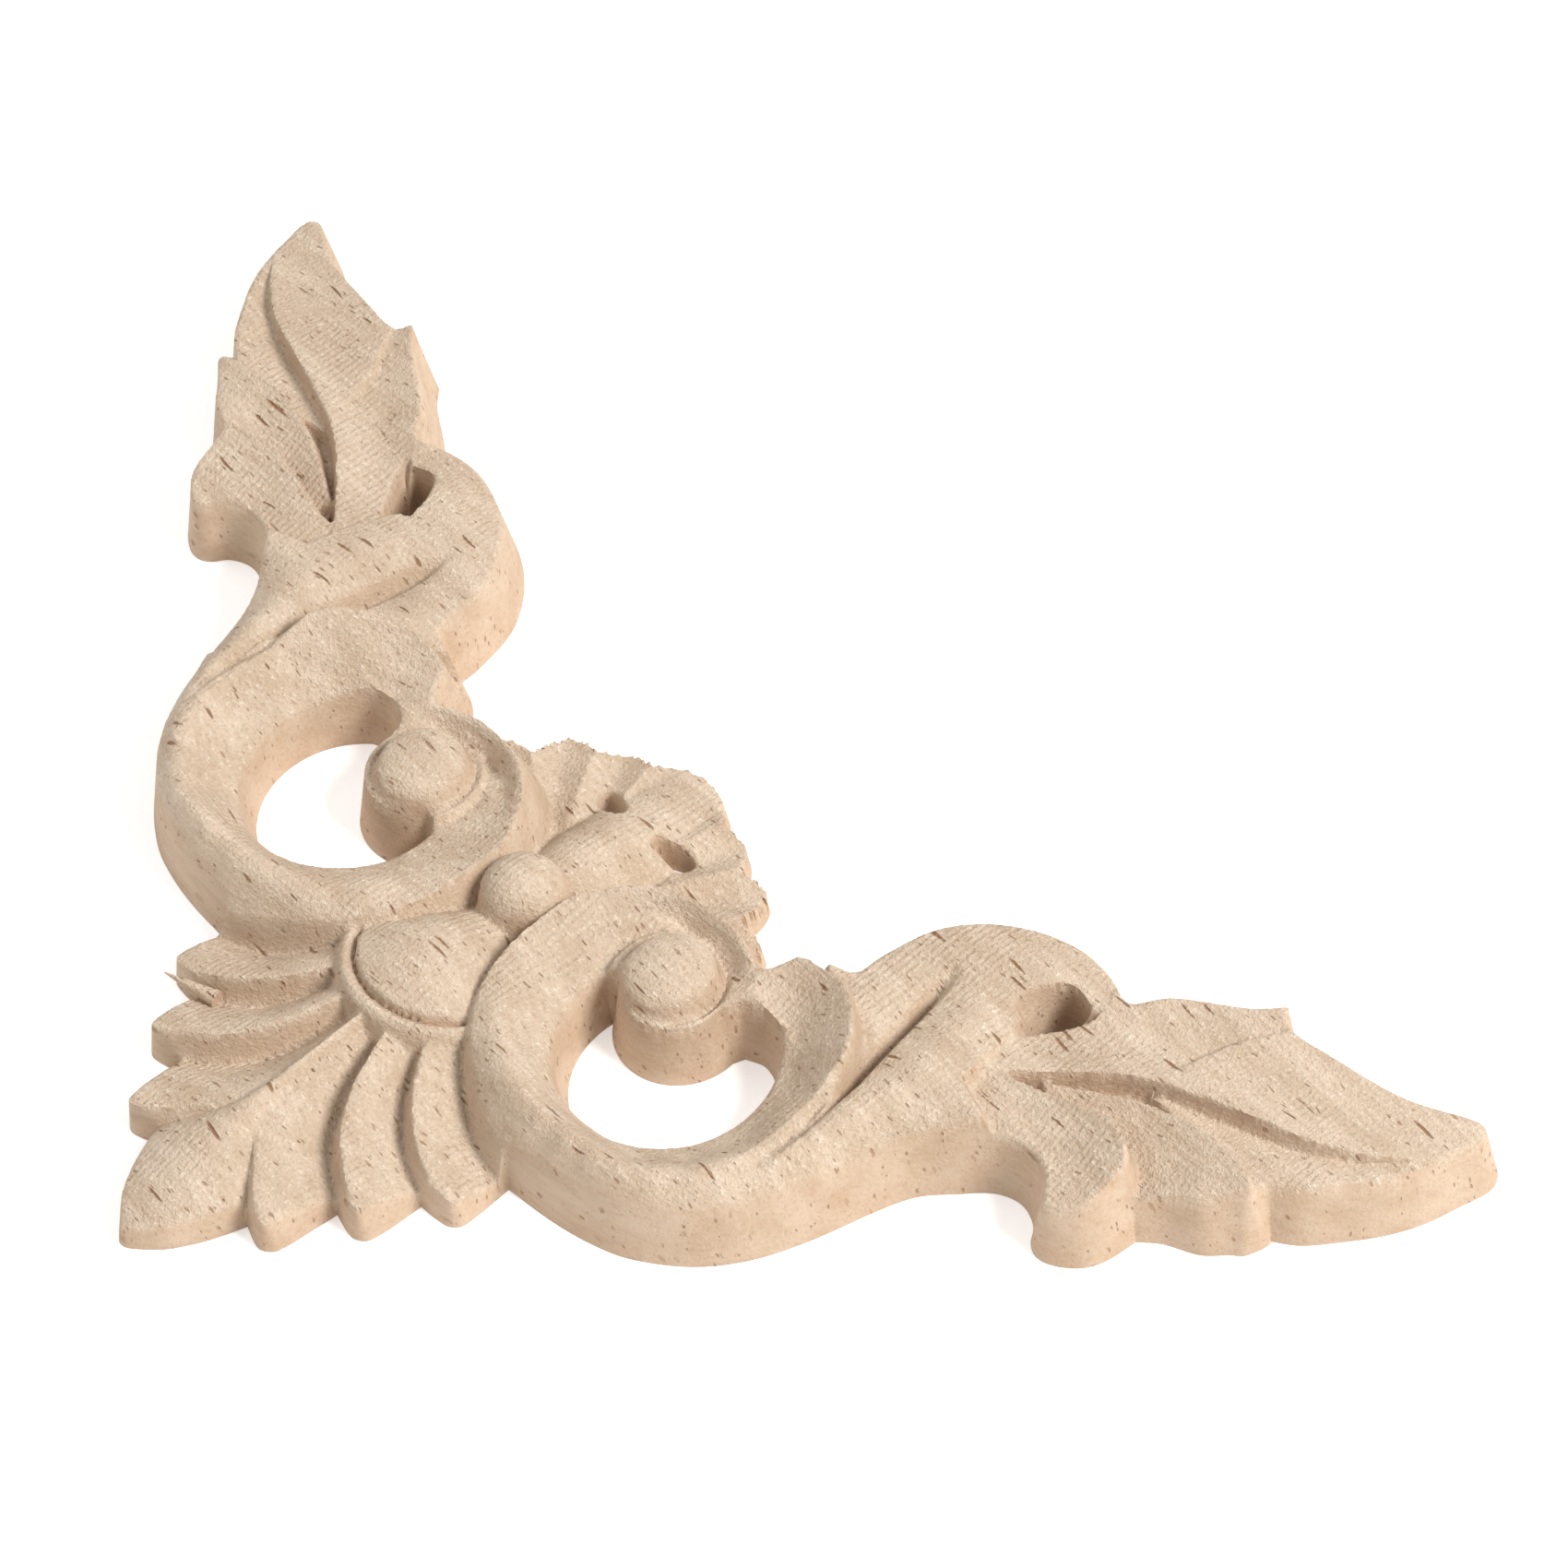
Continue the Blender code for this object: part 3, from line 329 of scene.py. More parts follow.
form(curve([(75.6, 9.9, 1), (78, 8.9), (80, 7.9), (84, 5.8), (88, 3.95), (92, 3.1), (95.5, 3.0, 1),
            (103, 3.0, 1), (103, 9, 1), (88, 16, 1), (85.8, 13.6, 1), (82.6, 12.9), (80.2, 11.9),
            (78.0, 10.6)], closed=True),
     surface([(76, 9.8, 6.6), (80, 8.0, 7.0), (84, 6.0, 7.0), (88, 4.1, 6.7), (92, 3.3, 6.3),
              (95, 3.1, 5.8), (98, 4.0, 5.5), (80.4, 11.6, 6.8), (83.0, 12.6, 7.0), (86.3, 13.5, 7.1),
              (89, 11.4, 6.8), (92, 9.2, 6.4), (95, 7.6, 6.1), (98, 6.6, 5.8), (100, 5.5, 5.4),
              (84, 9.6, 6.7), (88, 7.8, 6.4), (92, 6.0, 6.0), (95.5, 5.2, 5.8)]), 5)
form(curve([(76, 9, 1), (84, 0, 1), (86, -4, 1), (103, -4, 1), (103, 5, 1), (95, 5, 1), (84, 7, 1)],
           closed=True),
     surface([(78, 8.3, 5.4), (82, 6.3, 5.3), (86, 4.3, 5.3), (90, 3.0, 5.4), (94, 2.5, 5.6),
              (84.8, 2.6, 5.7), (85.2, 0.6, 5.6), (88, 0.6, 5.9), (92, 1.2, 5.8), (96, 2.2, 5.6),
              (99, 3.9, 5.4), (88.5, 2.0, 5.9), (96, 3.2, 5.6)]), 5)
form(curve([(68, 10.4, 1), (74.5, 8.3), (77.4, 6.7), (79.3, 5.3), (80.9, 3.6), (82.3, 1.9),
            (83.3, 0.3), (84.0, -2, 1), (75, -4, 1), (70, 4, 1)], closed=True),
     surface([(70, 9.6, 5.7), (74.5, 8.1, 6.2), (77.2, 6.6, 6.5), (79.1, 5.2, 6.9), (80.7, 3.6, 7.1),
              (82.1, 1.9, 7.2), (83.1, 0.3, 7.1), (83.5, -0.8, 6.6), (74.6, 6.0, 5.3), (75.8, 3.2, 5.0),
              (76.0, 0.6, 4.6), (78.0, 3.4, 5.7), (79.5, 0.6, 6.0), (80.5, -0.6, 5.7), (77.5, -0.2, 5.0)]), 5)
form(curve([(60.5, 11.5, 1), (64.3, 11.2), (66, 9.9), (68, 8.5), (70, 7.2), (71.7, 6.0), (73.2, 4.7),
            (74.1, 3.2), (74.25, 1.6), (73.6, 0.0), (72.9, -3, 1), (64, -4, 1), (62, 4, 1)], closed=True),
     surface([(64.0, 11.0, 6.3), (66, 9.7, 6.7), (68, 8.3, 7.1), (70, 7.0, 7.6), (71.7, 5.8, 8.0),
              (73.1, 4.5, 8.4), (74.0, 3.1, 8.55), (74.1, 1.5, 8.2), (73.3, 0.0, 7.4), (71.4, -1.0, 6.5),
              (69.2, -1.2, 5.9), (67.7, 0.0, 5.7), (67.9, 2.0, 6.0), (66.6, 4.2, 6.0), (64.4, 5.2, 5.9),
              (63.6, 7.6, 6.1), (62.8, 9.6, 6.2), (67.4, 6.2, 6.4), (70.4, 4.6, 6.9), (71.4, 1.8, 6.9)]), 5)


# Height of the whole relief
FLOOR = 1.3
FORM_REACH = 2.5            # drawing units past its outline within which a form still counts
NOWHERE = 9.0               # depth and distance given to a form that is farther off


def relief(points):
    """For each form: its height, the distance to its edge, and the nearest point of that edge."""
    p = np.where((points[:, 0] >= points[:, 1])[:, None], points, points[:, ::-1])
    heights = np.full((len(forms), len(p)), -NOWHERE)
    reach = np.full((len(forms), len(p)), NOWHERE)
    feet = np.zeros((len(forms), len(p), 2))
    for i, (edge, height, steep) in enumerate(forms):
        near = ((p > edge.min(0) - FORM_REACH) & (p < edge.max(0) + FORM_REACH)).all(-1)
        q = p[near]
        d, foot, inside = nearest(q, [edge])
        heights[i, near] = height(np.where(inside[:, None], q, foot)) - steep * np.where(inside, 0, d)
        reach[i, near] = d
        feet[i, near] = foot
    return p, heights, reach, feet


def crease(p, line, depth, width):
    """V-shaped cut along a line whose depth is given at its points."""
    best = np.full(len(p), 1e9)
    deep = np.zeros(len(p))
    for a, b, da, db in zip(line, line[1:], depth, depth[1:]):
        ab = b - a
        t = np.clip(((p - a) @ ab) / (ab @ ab), 0, 1)
        d = ((p - a - t[:, None] * ab)**2).sum(-1)
        closer = d < best
        best[closer] = d[closer]
        deep[closer] = (da + (db - da) * t)[closer]
    return deep * np.maximum(1 - np.sqrt(best) / width, 0)


# Grooves between the two bands of the stem, round the dome, and inside the rim of the ring
STEM_GROOVE = curve([(44.0, 0.4), (46.5, 1.3), (48.4, 2.6), (50.2, 4.5), (52.1, 6.9), (54.1, 9.4),
                     (56.0, 12.2), (58.0, 15.1), (60.0, 18.0), (61.8, 20.2)], steps=2)
GROOVE_DEPTH = np.interp(np.linspace(0, 1, len(STEM_GROOVE)), [0, 0.2, 0.5, 0.85, 1], [0, 0.6, 1.5, 1.8, 0])
EYE_GROOVE = arc(DOME_CENTRE, 3.85, 150, -100, 24)
EYE_DEPTH = np.interp(np.linspace(0, 1, 24), [0, 0.3, 0.8, 1], [0.3, 0.8, 0.9, 0])
RIM_GROOVE = curve([(45.3, 19.6), (44.7, 21.2), (43.6, 23.0), (41.9, 24.7), (40.1, 25.9), (37.6, 26.5),
                    (34.9, 26.1)], steps=3)
RIM_DEPTH = np.interp(np.linspace(0, 1, len(RIM_GROOVE)), [0, 0.2, 0.6, 1], [0.3, 1.0, 0.9, 0])


def total_height(points):
    """The forms melted together, with the V-shaped cuts taken out."""
    p, heights = relief(points)[:2]
    heights = np.maximum(heights, FLOOR)
    top = heights.max(0)
    blend = np.exp((heights - top) * FILLET_SHARPNESS).sum(0) - (heights <= FLOOR).sum(0) * np.exp(
        (FLOOR - top) * FILLET_SHARPNESS)
    top = top + np.log(np.maximum(blend, 1)) / FILLET_SHARPNESS
    top -= crease(p, STEM_GROOVE, GROOVE_DEPTH, 0.85)
    top -= crease(p, RIM_GROOVE, RIM_DEPTH, 1.1)
    return top - crease(p, EYE_GROOVE, EYE_DEPTH, 0.6)


# The carved top: a grid whose corners are moved onto the edges of the forms and onto the outline
cell = GRID_CELL / UNIT
count = int(106 / cell)
bm = bmesh.new()
bmesh.ops.create_grid(bm, x_segments=count, y_segments=count, size=count * cell / 2)
bmesh.ops.translate(bm, vec=(50, 50, 0), verts=bm.verts)
bm.verts.ensure_lookup_table()
plan = np.array([v.co[:2] for v in bm.verts])
coarse_d, _, coarse_in = nearest(plan, [outline[::4]])
keep = coarse_in | (coarse_d < 3 * cell)
index = np.flatnonzero(keep)
plan = plan[index]

# First onto the edges of the forms
reach, feet = relief(plan)[2:]
order = np.argsort(reach, axis=0)
moved = plan.copy()
done = np.zeros(len(plan), bool)
rows = np.arange(len(plan))
for rank in range(SNAP_FORMS):
    i = order[rank]
    foot = feet[i, rows]
    close = (reach[i, rows] < SNAP_REACH * cell) & ~done
    others = relief(foot[close])[1]
    own = others[i[close], np.arange(close.sum())].copy()
    others[i[close], np.arange(close.sum())] = -NOWHERE
    stands = own - np.maximum(others.max(0), FLOOR) > LEAST_STEP
    chosen = np.flatnonzero(close)[stands]
    target = feet[i[chosen], chosen]
    flip = plan[chosen, 0] < plan[chosen, 1]
    target[flip] = target[flip][:, ::-1]
    moved[chosen] = target
    done[chosen] = True


# Then onto the line where the top meets the outer wall
def wall_gap(points):
    """How far the wall plane stands over the top, the way inward, the distance in, and the top."""
    top = total_height(points)
    lowest = np.full(len(points), 1e9)
    signed = np.ones(len(points))
    slope = np.ones(len(points))
    inward = np.zeros_like(points)
    for line, keep_inside, steep in cuts:
        d, foot, inside = nearest(points, [line])
        depth = np.where(inside == keep_inside, d, -d)
        depth = np.where(np.abs(depth) < 1e-6, 1e-6, depth)
        first = depth * steep < lowest
        lowest[first] = (depth * steep)[first]
        signed[first] = depth[first]
        slope[first] = steep
        inward[first] = ((points - foot) / depth[:, None])[first]
    return lowest - top, inward, signed, top, slope


foot_layer = bm.verts.layers.float_vector.new("foot")
gap, _, _, _, slope = wall_gap(moved)
on_top = gap > -SNAP_REACH * cell * slope
row_of = dict(zip(index.tolist(), range(len(index))))
outside = []
for v in bm.verts:
    k = row_of.get(v.index)
    if k is None or not on_top[k]:
        outside.append(v)
        continue
    v.co = (moved[k, 0], moved[k, 1], 0)
bmesh.ops.delete(bm, geom=outside, context='VERTS')


def drop_loose():
    """Delete the corners that no face uses."""
    loose = [v for v in bm.verts if not v.link_faces]
    if loose:
        bmesh.ops.delete(bm, geom=loose, context='VERTS')


# Corners where two patches touch only at a point are opened by taking their faces away
drop_loose()
for _ in range(6):
    pinched = [v for v in bm.verts if sum(e.is_boundary for e in v.link_edges) > 2]
    single = [f for f in bm.faces if sum(e.is_boundary for e in f.edges) > 2]
    faces = list(dict.fromkeys([f for v in pinched for f in v.link_faces] + single))
    if not faces:
        break
    bmesh.ops.delete(bm, geom=faces, context='FACES')
    drop_loose()

bm.verts.ensure_lookup_table()
moved = np.array([v.co[:2] for v in bm.verts])
border = np.array([v.is_boundary for v in bm.verts])
links = [[e.other_vert(v).index for e in v.link_edges if e.is_boundary] for v in bm.verts]
loop = np.array([i for i, near in enumerate(links) if len(near) == 2])
loop_links = np.array([links[i] for i in loop])
gap, inward, depth, top, slope = wall_gap(moved)
border |= gap < 0
for turn in range(6):
    moved[border] -= (gap[border] / slope[border])[:, None] * inward[border]
    if turn in (1, 3):
        moved[loop] = (moved[loop] * 2 + moved[loop_links[:, 0]] + moved[loop_links[:, 1]]) / 4
    gap[border], inward[border], depth[border], top[border], slope[border] = wall_gap(moved[border])
feet = moved - inward * depth[:, None]
for _ in range(2):
    feet[loop] = (feet[loop] * 2 + feet[loop_links[:, 0]] + feet[loop_links[:, 1]]) / 4
for v, xy, z, base in zip(bm.verts, moved, top, feet):
    v.co = (xy[0], xy[1], z)
    v[foot_layer] = (base[0], base[1], 0) if v.is_boundary else (xy[0], xy[1], 0)

# The sweep of the cutter rounds the relief a little
for _ in range(SWEEPS):
    bmesh.ops.smooth_vert(bm, verts=[v for v in bm.verts if not v.is_boundary], factor=0.5,
                          use_axis_x=False, use_axis_y=False, use_axis_z=True)

# The finer mesh keeps what the cutter leaves: a slightly rounded rim, uneven fibres on the top,
# and an edge that is torn where the cutter ran across the grain round the palmette
RIM_ROUNDING = 0.14                 # drawing units, as are the sizes below
FIBRE_HEIGHT = 0.022
TORN_EDGE = 0.11
PALMETTE_TIP = (42.0, 42.0)
PALMETTE_REACH = 18.0               # the rim is torn within this of the tip,
BALL_REACH = 15.5                   # but not within this of the ball
BACK_TILE = 8.0                     # side of the squares into which the flat back is gathered
WALL_ROWS = 4
SHARP_ANGLE = math.radians(48)
BACK_FACING = -0.9                  # faces that point down more than this are the flat back
rng = np.random.default_rng(7)
rough = rng.normal(0, 1, len(bm.verts)).clip(-2, 2)
torn = rng.normal(0, TORN_EDGE, (len(bm.verts), 3)).clip(-0.5, 0.5)
for v, rise, tear in zip(bm.verts, rough, torn):
    v.co.z += FIBRE_HEIGHT * rise
    if v.is_boundary:
        v.co.z -= RIM_ROUNDING
        if math.dist(v.co[:2], PALMETTE_TIP) < PALMETTE_REACH and math.dist(v.co[:2], BALL) > BALL_REACH:
            v.co += Vector(tear)

# Each square is split along its higher diagonal, so that crests stay whole
for f in list(bm.faces):
    a, b, c, d = f.verts
    if a.co.z + c.co.z >= b.co.z + d.co.z:
        bmesh.utils.face_split(f, a, c)
    else:
        bmesh.utils.face_split(f, b, d)

# The outer wall down to the flat back, whose inner corners are then taken away
result = bmesh.ops.extrude_face_region(bm, geom=list(bm.faces), use_keep_orig=True)
low_verts = [g for g in result['geom'] if isinstance(g, bmesh.types.BMVert)]
low = set(low_verts)
for v in low_verts:
    v.co = v[foot_layer]
back = [f for f in bm.faces if all(v in low for v in f.verts)]
uprights = [e for e in bm.edges if (e.verts[0] in low) != (e.verts[1] in low)]
tiles = {}
for f in back:
    middle = f.calc_center_median() / BACK_TILE
    tiles.setdefault((math.floor(middle.x), math.floor(middle.y)), []).append(f)
for tile in tiles.values():
    bmesh.ops.dissolve_faces(bm, faces=tile)
bmesh.ops.dissolve_verts(bm, verts=[v for v in low_verts if v.is_valid and len(v.link_edges) == 2])
bmesh.ops.subdivide_edges(bm, edges=uprights, cuts=WALL_ROWS - 1, use_grid_fill=True)

# A splinter torn loose in the notch between two petals, on the Y arm only
SPLINTER_ROOT = Vector((5.4, 20.9, 2.5))
SPLINTER_TIP = Vector((1.3, 22.9, 3.3))
SPLINTER_RADII = (0.75, 0.05)
run = SPLINTER_TIP - SPLINTER_ROOT
splinter = bmesh.ops.create_cone(bm, cap_ends=True, segments=9, radius1=SPLINTER_RADII[0],
                                 radius2=SPLINTER_RADII[1], depth=run.length)
leaning = run.to_track_quat('Z', 'Y').to_matrix()
bmesh.ops.transform(bm, matrix=Matrix.Translation((SPLINTER_ROOT + SPLINTER_TIP) / 2) @ leaning.to_4x4(),
                    verts=splinter['verts'])
bmesh.ops.recalc_face_normals(bm, faces=bm.faces)
bmesh.ops.translate(bm, vec=(-DRAWING_CENTRE, -DRAWING_CENTRE, 0), verts=bm.verts)
bmesh.ops.scale(bm, vec=(UNIT, UNIT, UNIT), verts=bm.verts)
for f in bm.faces:
    f.smooth = f.normal.z > BACK_FACING
for e in bm.edges:
    e.smooth = all(f.smooth for f in e.link_faces) and e.calc_face_angle(0) < SHARP_ANGLE
mesh = bpy.data.meshes.new("onlay")
bm.to_mesh(mesh)
bm.free()
onlay = bpy.data.objects.new("carved_onlay", mesh)
bpy.context.scene.collection.objects.link(onlay)
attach(onlay, "root")
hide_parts("corner_onlay")


# The wood: bare, hardly sanded rubberwood, cream on the top faces and darker, pinker on the walls (partly the
# end grain's own tone, partly painted shade), with short dark pores along the grain, ridges left by the
# cutter, and fuzzy fibres, with painted highlights on the raised ones on top faces and painted shade in the
# low ones.
class Nodes:
    """Short calls for building a node tree from left to right."""

    def __init__(self, tree):
        self.tree = tree

    def add(self, kind, settings=None, **values):
        node = self.tree.nodes.new(kind)
        for key, value in (settings or {}).items():
            setattr(node, key, value)
        for key, value in values.items():
            self.put(node, key.replace("_", " "), value)
        return node

    def put(self, node, key, value):
        socket = node.inputs[int(key[1:])] if key[0] == "i" and key[1:].isdigit() else node.inputs[key]
        if isinstance(value, bpy.types.NodeSocket):
            self.tree.links.new(value, socket)
        else:
            socket.default_value = value

    def math(self, operation, a, b=0.0):
        node = self.add('ShaderNodeMath', {"operation": operation}, i0=a, i1=b)
        return node.outputs[0]

    def ramp(self, value, low, high, to_low=0.0, to_high=1.0):
        node = self.add('ShaderNodeMapRange', {"interpolation_type": 'SMOOTHSTEP'}, i0=value, i1=low, i2=high,
                        i3=to_low, i4=to_high)
        return node.outputs[0]

    def mix(self, factor, a, b):
        node = self.add('ShaderNodeMix', {"data_type": 'RGBA'}, i0=factor, i6=a, i7=b)
        return node.outputs[2]


def group(name, inputs, outputs):
    """New node group with float or vector inputs and outputs; returns its helper, input and output nodes."""
    tree = bpy.data.node_groups.new(name, 'ShaderNodeTree')
    for label, kind in inputs:
        tree.interface.new_socket(label, in_out='INPUT', socket_type=kind)
    for label, kind in outputs:
        tree.interface.new_socket(label, in_out='OUTPUT', socket_type=kind)
    nodes = Nodes(tree)
    return nodes, nodes.add('NodeGroupInput'), nodes.add('NodeGroupOutput')


FLOAT = 'NodeSocketFloat'
VECTOR = 'NodeSocketVector'
GRAIN_TURN = math.radians(45)       # the grain runs across the corner, along +X -Y

# Pores: cells drawn out along the grain, so they show as dashes on top faces and as dots on end grain
g, gin, gout = group("pores", [("Grain", VECTOR), ("Spacing", FLOAT), ("Stretch", FLOAT), ("Size", FLOAT),
                               ("Share", FLOAT)], [("Mask", FLOAT)])
bend = g.add('ShaderNodeTexNoise', None, Vector=gin.outputs[0], Scale=160.0, Detail=1.0)
shift = g.add('ShaderNodeVectorMath', {"operation": 'SCALE'}, i0=bend.outputs[1], i3=0.0022)
wavy = g.add('ShaderNodeVectorMath', {"operation": 'ADD'}, i0=gin.outputs[0], i1=shift.outputs[0])
shape = g.add('ShaderNodeCombineXYZ', None, X=gin.outputs[2], Y=1.0, Z=0.35)
squeeze = g.add('ShaderNodeVectorMath', {"operation": 'MULTIPLY'}, i0=wavy.outputs[0], i1=shape.outputs[0])
scaled = g.add('ShaderNodeVectorMath', {"operation": 'SCALE'}, i0=squeeze.outputs[0], i3=gin.outputs[1])
cells = g.add('ShaderNodeTexVoronoi', {"feature": 'F1', "distance": 'EUCLIDEAN'}, Vector=scaled.outputs[0],
              Scale=1.0, Randomness=1.0)
lot = g.add('ShaderNodeSeparateColor', None, i0=cells.outputs[1])
uneven = g.add('ShaderNodeTexNoise', None, Vector=gin.outputs[0], Scale=5000.0, Detail=1.0)
edge = g.math('ADD', cells.outputs[0], g.math('MULTIPLY', g.math('SUBTRACT', uneven.outputs[0], 0.5), 0.10))
reach = g.math('MULTIPLY', gin.outputs[3], g.math('ADD', 0.5, lot.outputs[1]))
mask = g.ramp(edge, g.math('MULTIPLY', reach, 0.5), reach, 1.0, 0.0)
g.put(gout, "Mask", g.math('MULTIPLY', mask, g.math('LESS_THAN', lot.outputs[0], gin.outputs[4])))

# Router marks: fine ridges from the passes of the cutter, fading in and out
ROUTER_PITCH = 0.00058              # metres from ridge to ridge, guessed
ROUTER_WANDER = 0.00018             # metres by which a ridge strays
g, gin, gout = group("router marks", [("Grain", VECTOR)], [("Height", FLOAT)])
parts = g.add('ShaderNodeSeparateXYZ', None, i0=gin.outputs[0])
wander = g.add('ShaderNodeTexNoise', None, Vector=gin.outputs[0], Scale=350.0, Detail=2.0)
along = g.math('ADD', parts.outputs[0], g.math('MULTIPLY', wander.outputs[0], ROUTER_WANDER))
wave = g.math('SINE', g.math('MULTIPLY', along, 2 * math.pi / ROUTER_PITCH))
patch = g.add('ShaderNodeTexNoise', None, Vector=gin.outputs[0], Scale=110.0, Detail=1.0)
broken = g.add('ShaderNodeTexNoise', None, Vector=gin.outputs[0], Scale=1500.0, Detail=1.0)
share = g.math('MULTIPLY', g.ramp(patch.outputs[0], 0.42, 0.62),
               g.ramp(broken.outputs[0], 0.35, 0.6, 0.25, 1.0))
g.put(gout, "Height", g.math('MULTIPLY', wave, share))

# Fibres: fine streaks along the grain and a soft fuzz
g, gin, gout = group("fibres", [("Grain", VECTOR)], [("Height", FLOAT), ("Streak", FLOAT)])
stretched = g.add('ShaderNodeVectorMath', {"operation": 'MULTIPLY'}, i0=gin.outputs[0], i1=(0.12, 1.0, 1.0))
streak = g.add('ShaderNodeTexNoise', None, Vector=stretched.outputs[0], Scale=2600.0, Detail=4.0,
               Roughness=0.6)
fuzz = g.add('ShaderNodeTexNoise', None, Vector=gin.outputs[0], Scale=3600.0, Detail=3.0, Roughness=0.65)
broad = g.add('ShaderNodeTexNoise', None, Vector=stretched.outputs[0], Scale=420.0, Detail=3.0)
g.put(gout, "Height", g.math('ADD', g.math('MULTIPLY', streak.outputs[0], 0.5), fuzz.outputs[0]))
g.put(gout, "Streak", g.math('ADD', g.math('MULTIPLY', streak.outputs[0], 0.35),
                             g.math('MULTIPLY', broad.outputs[0], 0.65)))

wood = bpy.data.materials.new("bare rubberwood")
wood.use_nodes = True
w = Nodes(wood.node_tree)
shader = wood.node_tree.nodes["Principled BSDF"]
coordinates = w.add('ShaderNodeTexCoord')
grain = w.add('ShaderNodeMapping', None, Vector=coordinates.outputs["Object"])
grain.inputs["Rotation"].default_value = (0, 0, GRAIN_TURN)


def use(name, **values):
    """Place a node group in the wood and set its inputs."""
    node = w.add('ShaderNodeGroup')
    node.node_tree = bpy.data.node_groups[name]
    for key, value in values.items():
        w.put(node, key, value)
    return node


pores = use("pores", Grain=grain.outputs[0], Spacing=2600.0, Stretch=0.24, Size=0.19, Share=0.5)
vessels = use("pores", Grain=grain.outputs[0], Spacing=1250.0, Stretch=0.11, Size=0.15, Share=0.65)
marks = use("router marks", Grain=grain.outputs[0])
fibres = use("fibres", Grain=grain.outputs[0])
facing = w.add('ShaderNodeNewGeometry')
up = w.add('ShaderNodeSeparateXYZ', None, i0=facing.outputs["Normal"])
wall = w.ramp(up.outputs[2], 0.15, 0.75, 1.0, 0.0)
base = w.mix(w.ramp(fibres.outputs["Streak"], 0.3, 0.7), (0.50, 0.375, 0.265, 1), (0.62, 0.495, 0.375, 1))
# Walls get a darker, pinker colour: partly the end grain's own tone, partly painted shade
wall_tone_and_shade = w.mix(w.ramp(fibres.outputs["Streak"], 0.3, 0.7), (0.45, 0.315, 0.21, 1), (0.53, 0.40, 0.29, 1))
colour = w.mix(wall, base, wall_tone_and_shade)
tops = w.math('SUBTRACT', 1.0, wall)
# Painted highlight: raised fibres on the top faces are lightened where they would catch the light
fibre_highlight = w.ramp(fibres.outputs["Height"], 0.80, 1.0)
# Painted shade: the low parts of the fibre fuzz are darkened
fuzz_hollow_shade = w.ramp(fibres.outputs["Height"], 0.52, 0.70, 1.0, 0.0)
colour = w.mix(w.math('MULTIPLY', fibre_highlight, w.math('MULTIPLY', tops, 0.5)), colour, (0.86, 0.76, 0.62, 1))
colour = w.mix(w.math('MULTIPLY', fuzz_hollow_shade, 0.4), colour, (0.36, 0.24, 0.15, 1))
colour = w.mix(w.math('MULTIPLY', pores.outputs["Mask"], 0.65), colour, (0.28, 0.14, 0.065, 1))
long_pores = w.math('MULTIPLY', vessels.outputs["Mask"], w.math('ADD', 0.3, w.math('MULTIPLY', tops, 0.7)))
colour = w.mix(w.math('MULTIPLY', long_pores, 0.9), colour, (0.25, 0.12, 0.05, 1))
w.put(shader, "Base Color", colour)
shader.inputs["Roughness"].default_value = 0.78
shader.inputs["Specular IOR Level"].default_value = 0.25
rise = w.math('MULTIPLY', marks.outputs["Height"], w.math('MULTIPLY', tops, 0.034))
rise = w.math('ADD', rise, w.math('MULTIPLY', fibres.outputs["Height"],
                                  w.math('ADD', 0.08, w.math('MULTIPLY', tops, 0.17))))
rise = w.math('SUBTRACT', rise, w.math('MULTIPLY', pores.outputs["Mask"], 0.07))
rise = w.math('SUBTRACT', rise, w.math('MULTIPLY', long_pores, 0.12))
bump = w.add('ShaderNodeBump', None, Height=rise, Distance=0.001, Strength=1.0)
w.put(shader, "Normal", bump.outputs[0])
mesh.materials.append(wood)

# The studio: a plain white sweep that glows a little, so the onlay throws almost no shadow on it,
# a soft key light from the right, a weak fill from the left, and the photo's own camera.
SWEEP_GLOW = 0.38
ROOM_LIGHT = 0.53
FLOOR_GAP = 0.00005                 # metres between the floor and the flat back
floor_mesh = bpy.data.meshes.new("floor")
bm = bmesh.new()
bmesh.ops.create_grid(bm, x_segments=1, y_segments=1, size=3.0)
bmesh.ops.translate(bm, vec=(0, 0, -FLOOR_GAP), verts=bm.verts)
bm.to_mesh(floor_mesh)
bm.free()
floor = bpy.data.objects.new("floor", floor_mesh)
bpy.context.scene.collection.objects.link(floor)
white = bpy.data.materials.new("white sweep")
white.use_nodes = True
sheet = white.node_tree.nodes["Principled BSDF"]
sheet.inputs["Base Color"].default_value = (0.93, 0.93, 0.93, 1)
sheet.inputs["Roughness"].default_value = 0.9
sheet.inputs["Emission Color"].default_value = (1, 1, 1, 1)
sheet.inputs["Emission Strength"].default_value = SWEEP_GLOW
floor_mesh.materials.append(white)


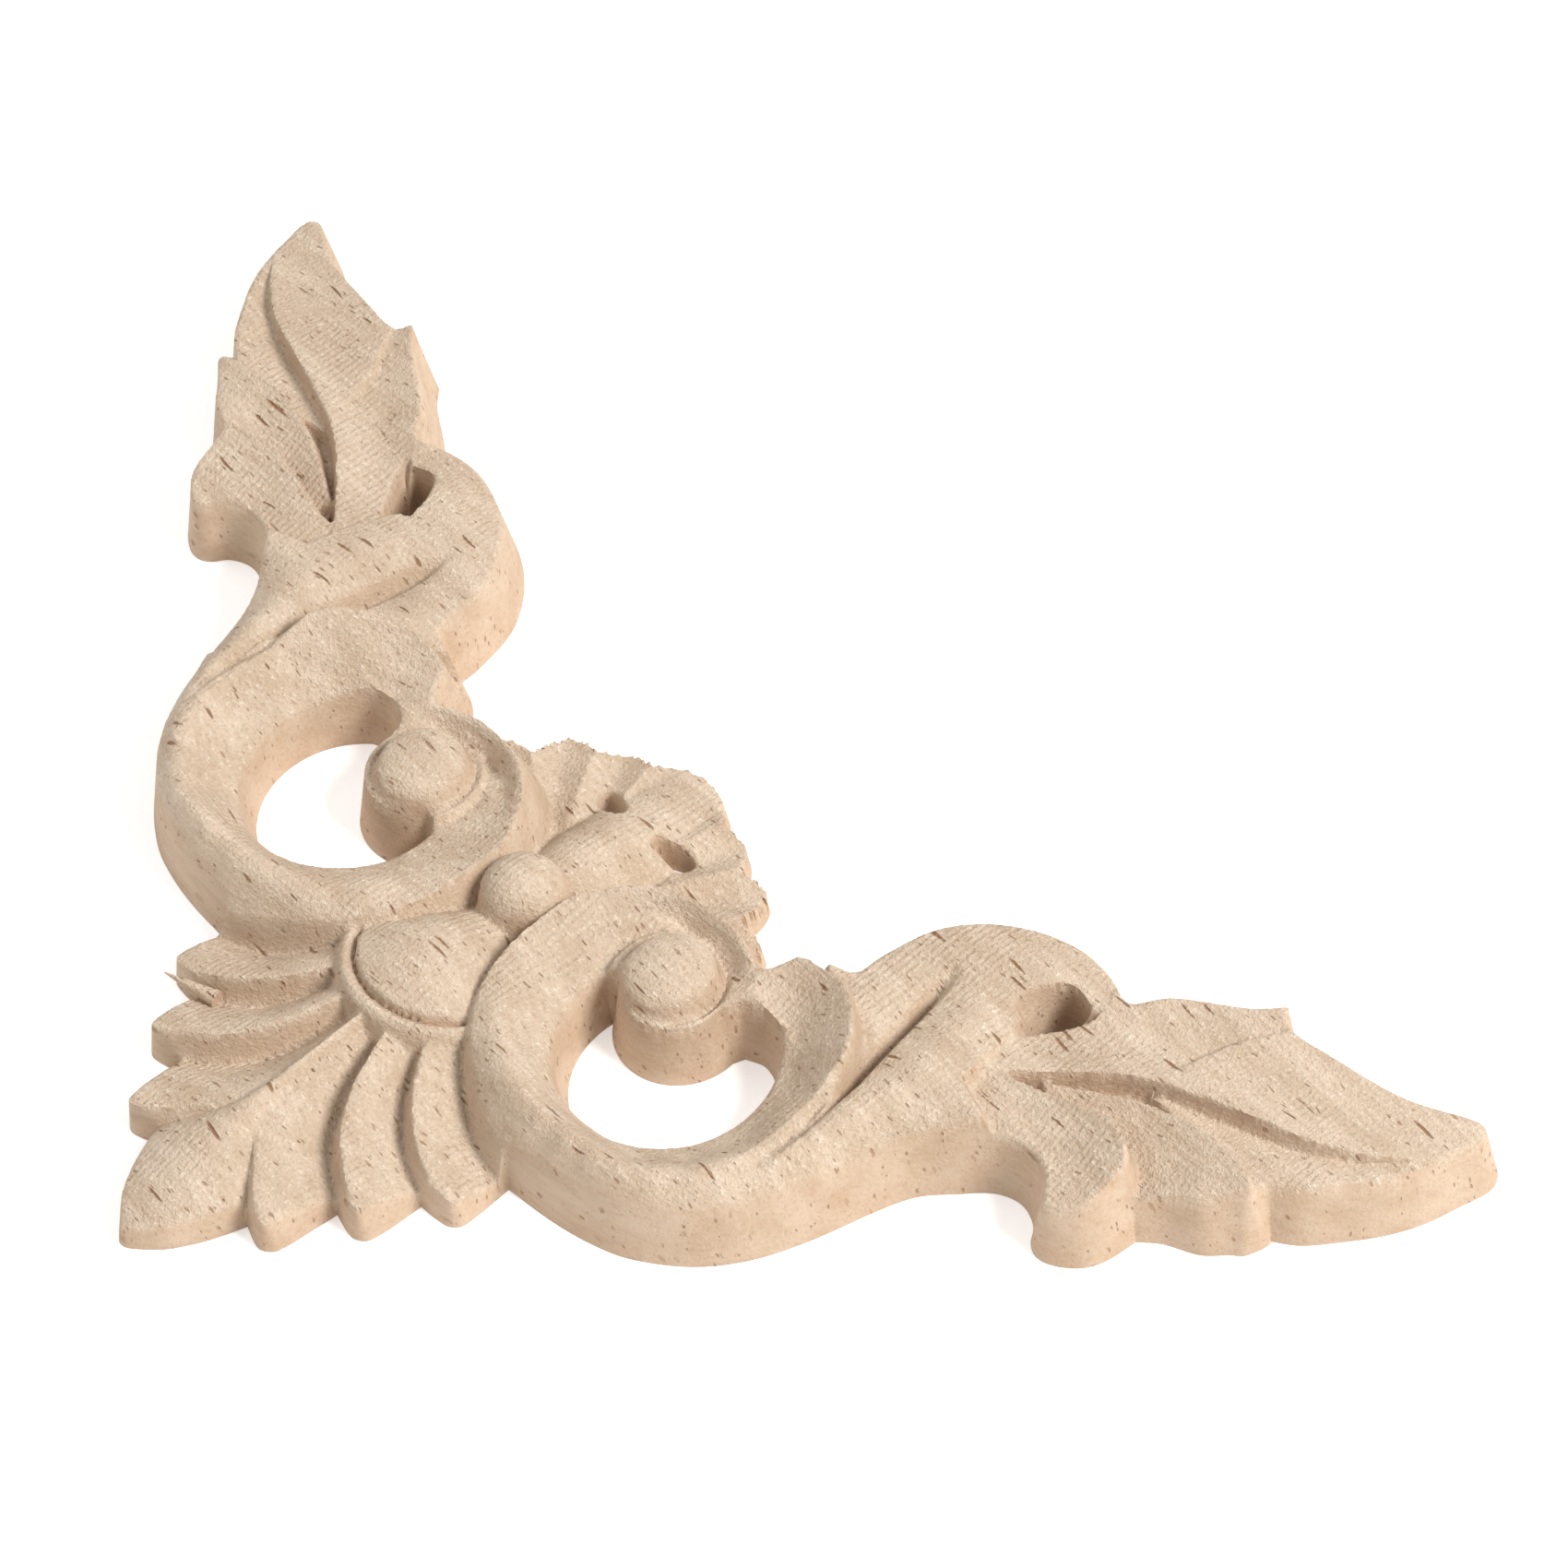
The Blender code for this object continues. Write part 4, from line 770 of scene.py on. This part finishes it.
def softbox(name, position, size, power):
    """Round soft light that looks at the onlay."""
    lamp = bpy.data.lights.new(name, 'AREA')
    lamp.shape = 'DISK'
    lamp.size = size
    lamp.energy = power
    holder = bpy.data.objects.new(name, lamp)
    holder.location = position
    holder.rotation_euler = (-Vector(position)).to_track_quat('-Z', 'Y').to_euler()
    bpy.context.scene.collection.objects.link(holder)
    return holder


key = softbox("key", (0.62, -0.26, 0.70), 0.36, 10.9)
fill = softbox("fill", (-0.6, 0.2, 0.6), 0.7, 2.0)
world = bpy.data.worlds.new("studio")
bpy.context.scene.world = world
world.use_nodes = True
world.node_tree.nodes["Background"].inputs[0].default_value = (1, 1, 1, 1)
world.node_tree.nodes["Background"].inputs[1].default_value = ROOM_LIGHT

CAMERA_DISTANCE = 463.8         # drawing units, as are the other camera places
CAMERA_AZIMUTH = math.radians(7.2)
CAMERA_HEIGHT = math.radians(50.6)
CAMERA_ROLL = math.radians(-6.22)
CAMERA_AIM = (47.3, 43.3)
LENS = 137.03
behind = Vector((math.sin(CAMERA_AZIMUTH) * math.cos(CAMERA_HEIGHT),
                 -math.cos(CAMERA_AZIMUTH) * math.cos(CAMERA_HEIGHT), math.sin(CAMERA_HEIGHT)))
aim = Vector((CAMERA_AIM[0] - DRAWING_CENTRE, CAMERA_AIM[1] - DRAWING_CENTRE, 0)) * UNIT
level = behind.cross(Vector((0, 0, -1))).normalized()
above = level.cross(-behind)
right = math.cos(CAMERA_ROLL) * level + math.sin(CAMERA_ROLL) * above
upward = -math.sin(CAMERA_ROLL) * level + math.cos(CAMERA_ROLL) * above
stand = aim + behind * CAMERA_DISTANCE * UNIT
lens = bpy.data.cameras.new("photo camera")
lens.lens = LENS
lens.clip_start = 0.01
lens.clip_end = 20
camera = bpy.data.objects.new("photo camera", lens)
camera.matrix_world = Matrix(((right[0], upward[0], behind[0], stand[0]),
                              (right[1], upward[1], behind[1], stand[1]),
                              (right[2], upward[2], behind[2], stand[2]),
                              (0, 0, 0, 1)))
bpy.context.scene.collection.objects.link(camera)
bpy.context.scene.camera = camera
bpy.context.scene.view_settings.view_transform = 'Standard'
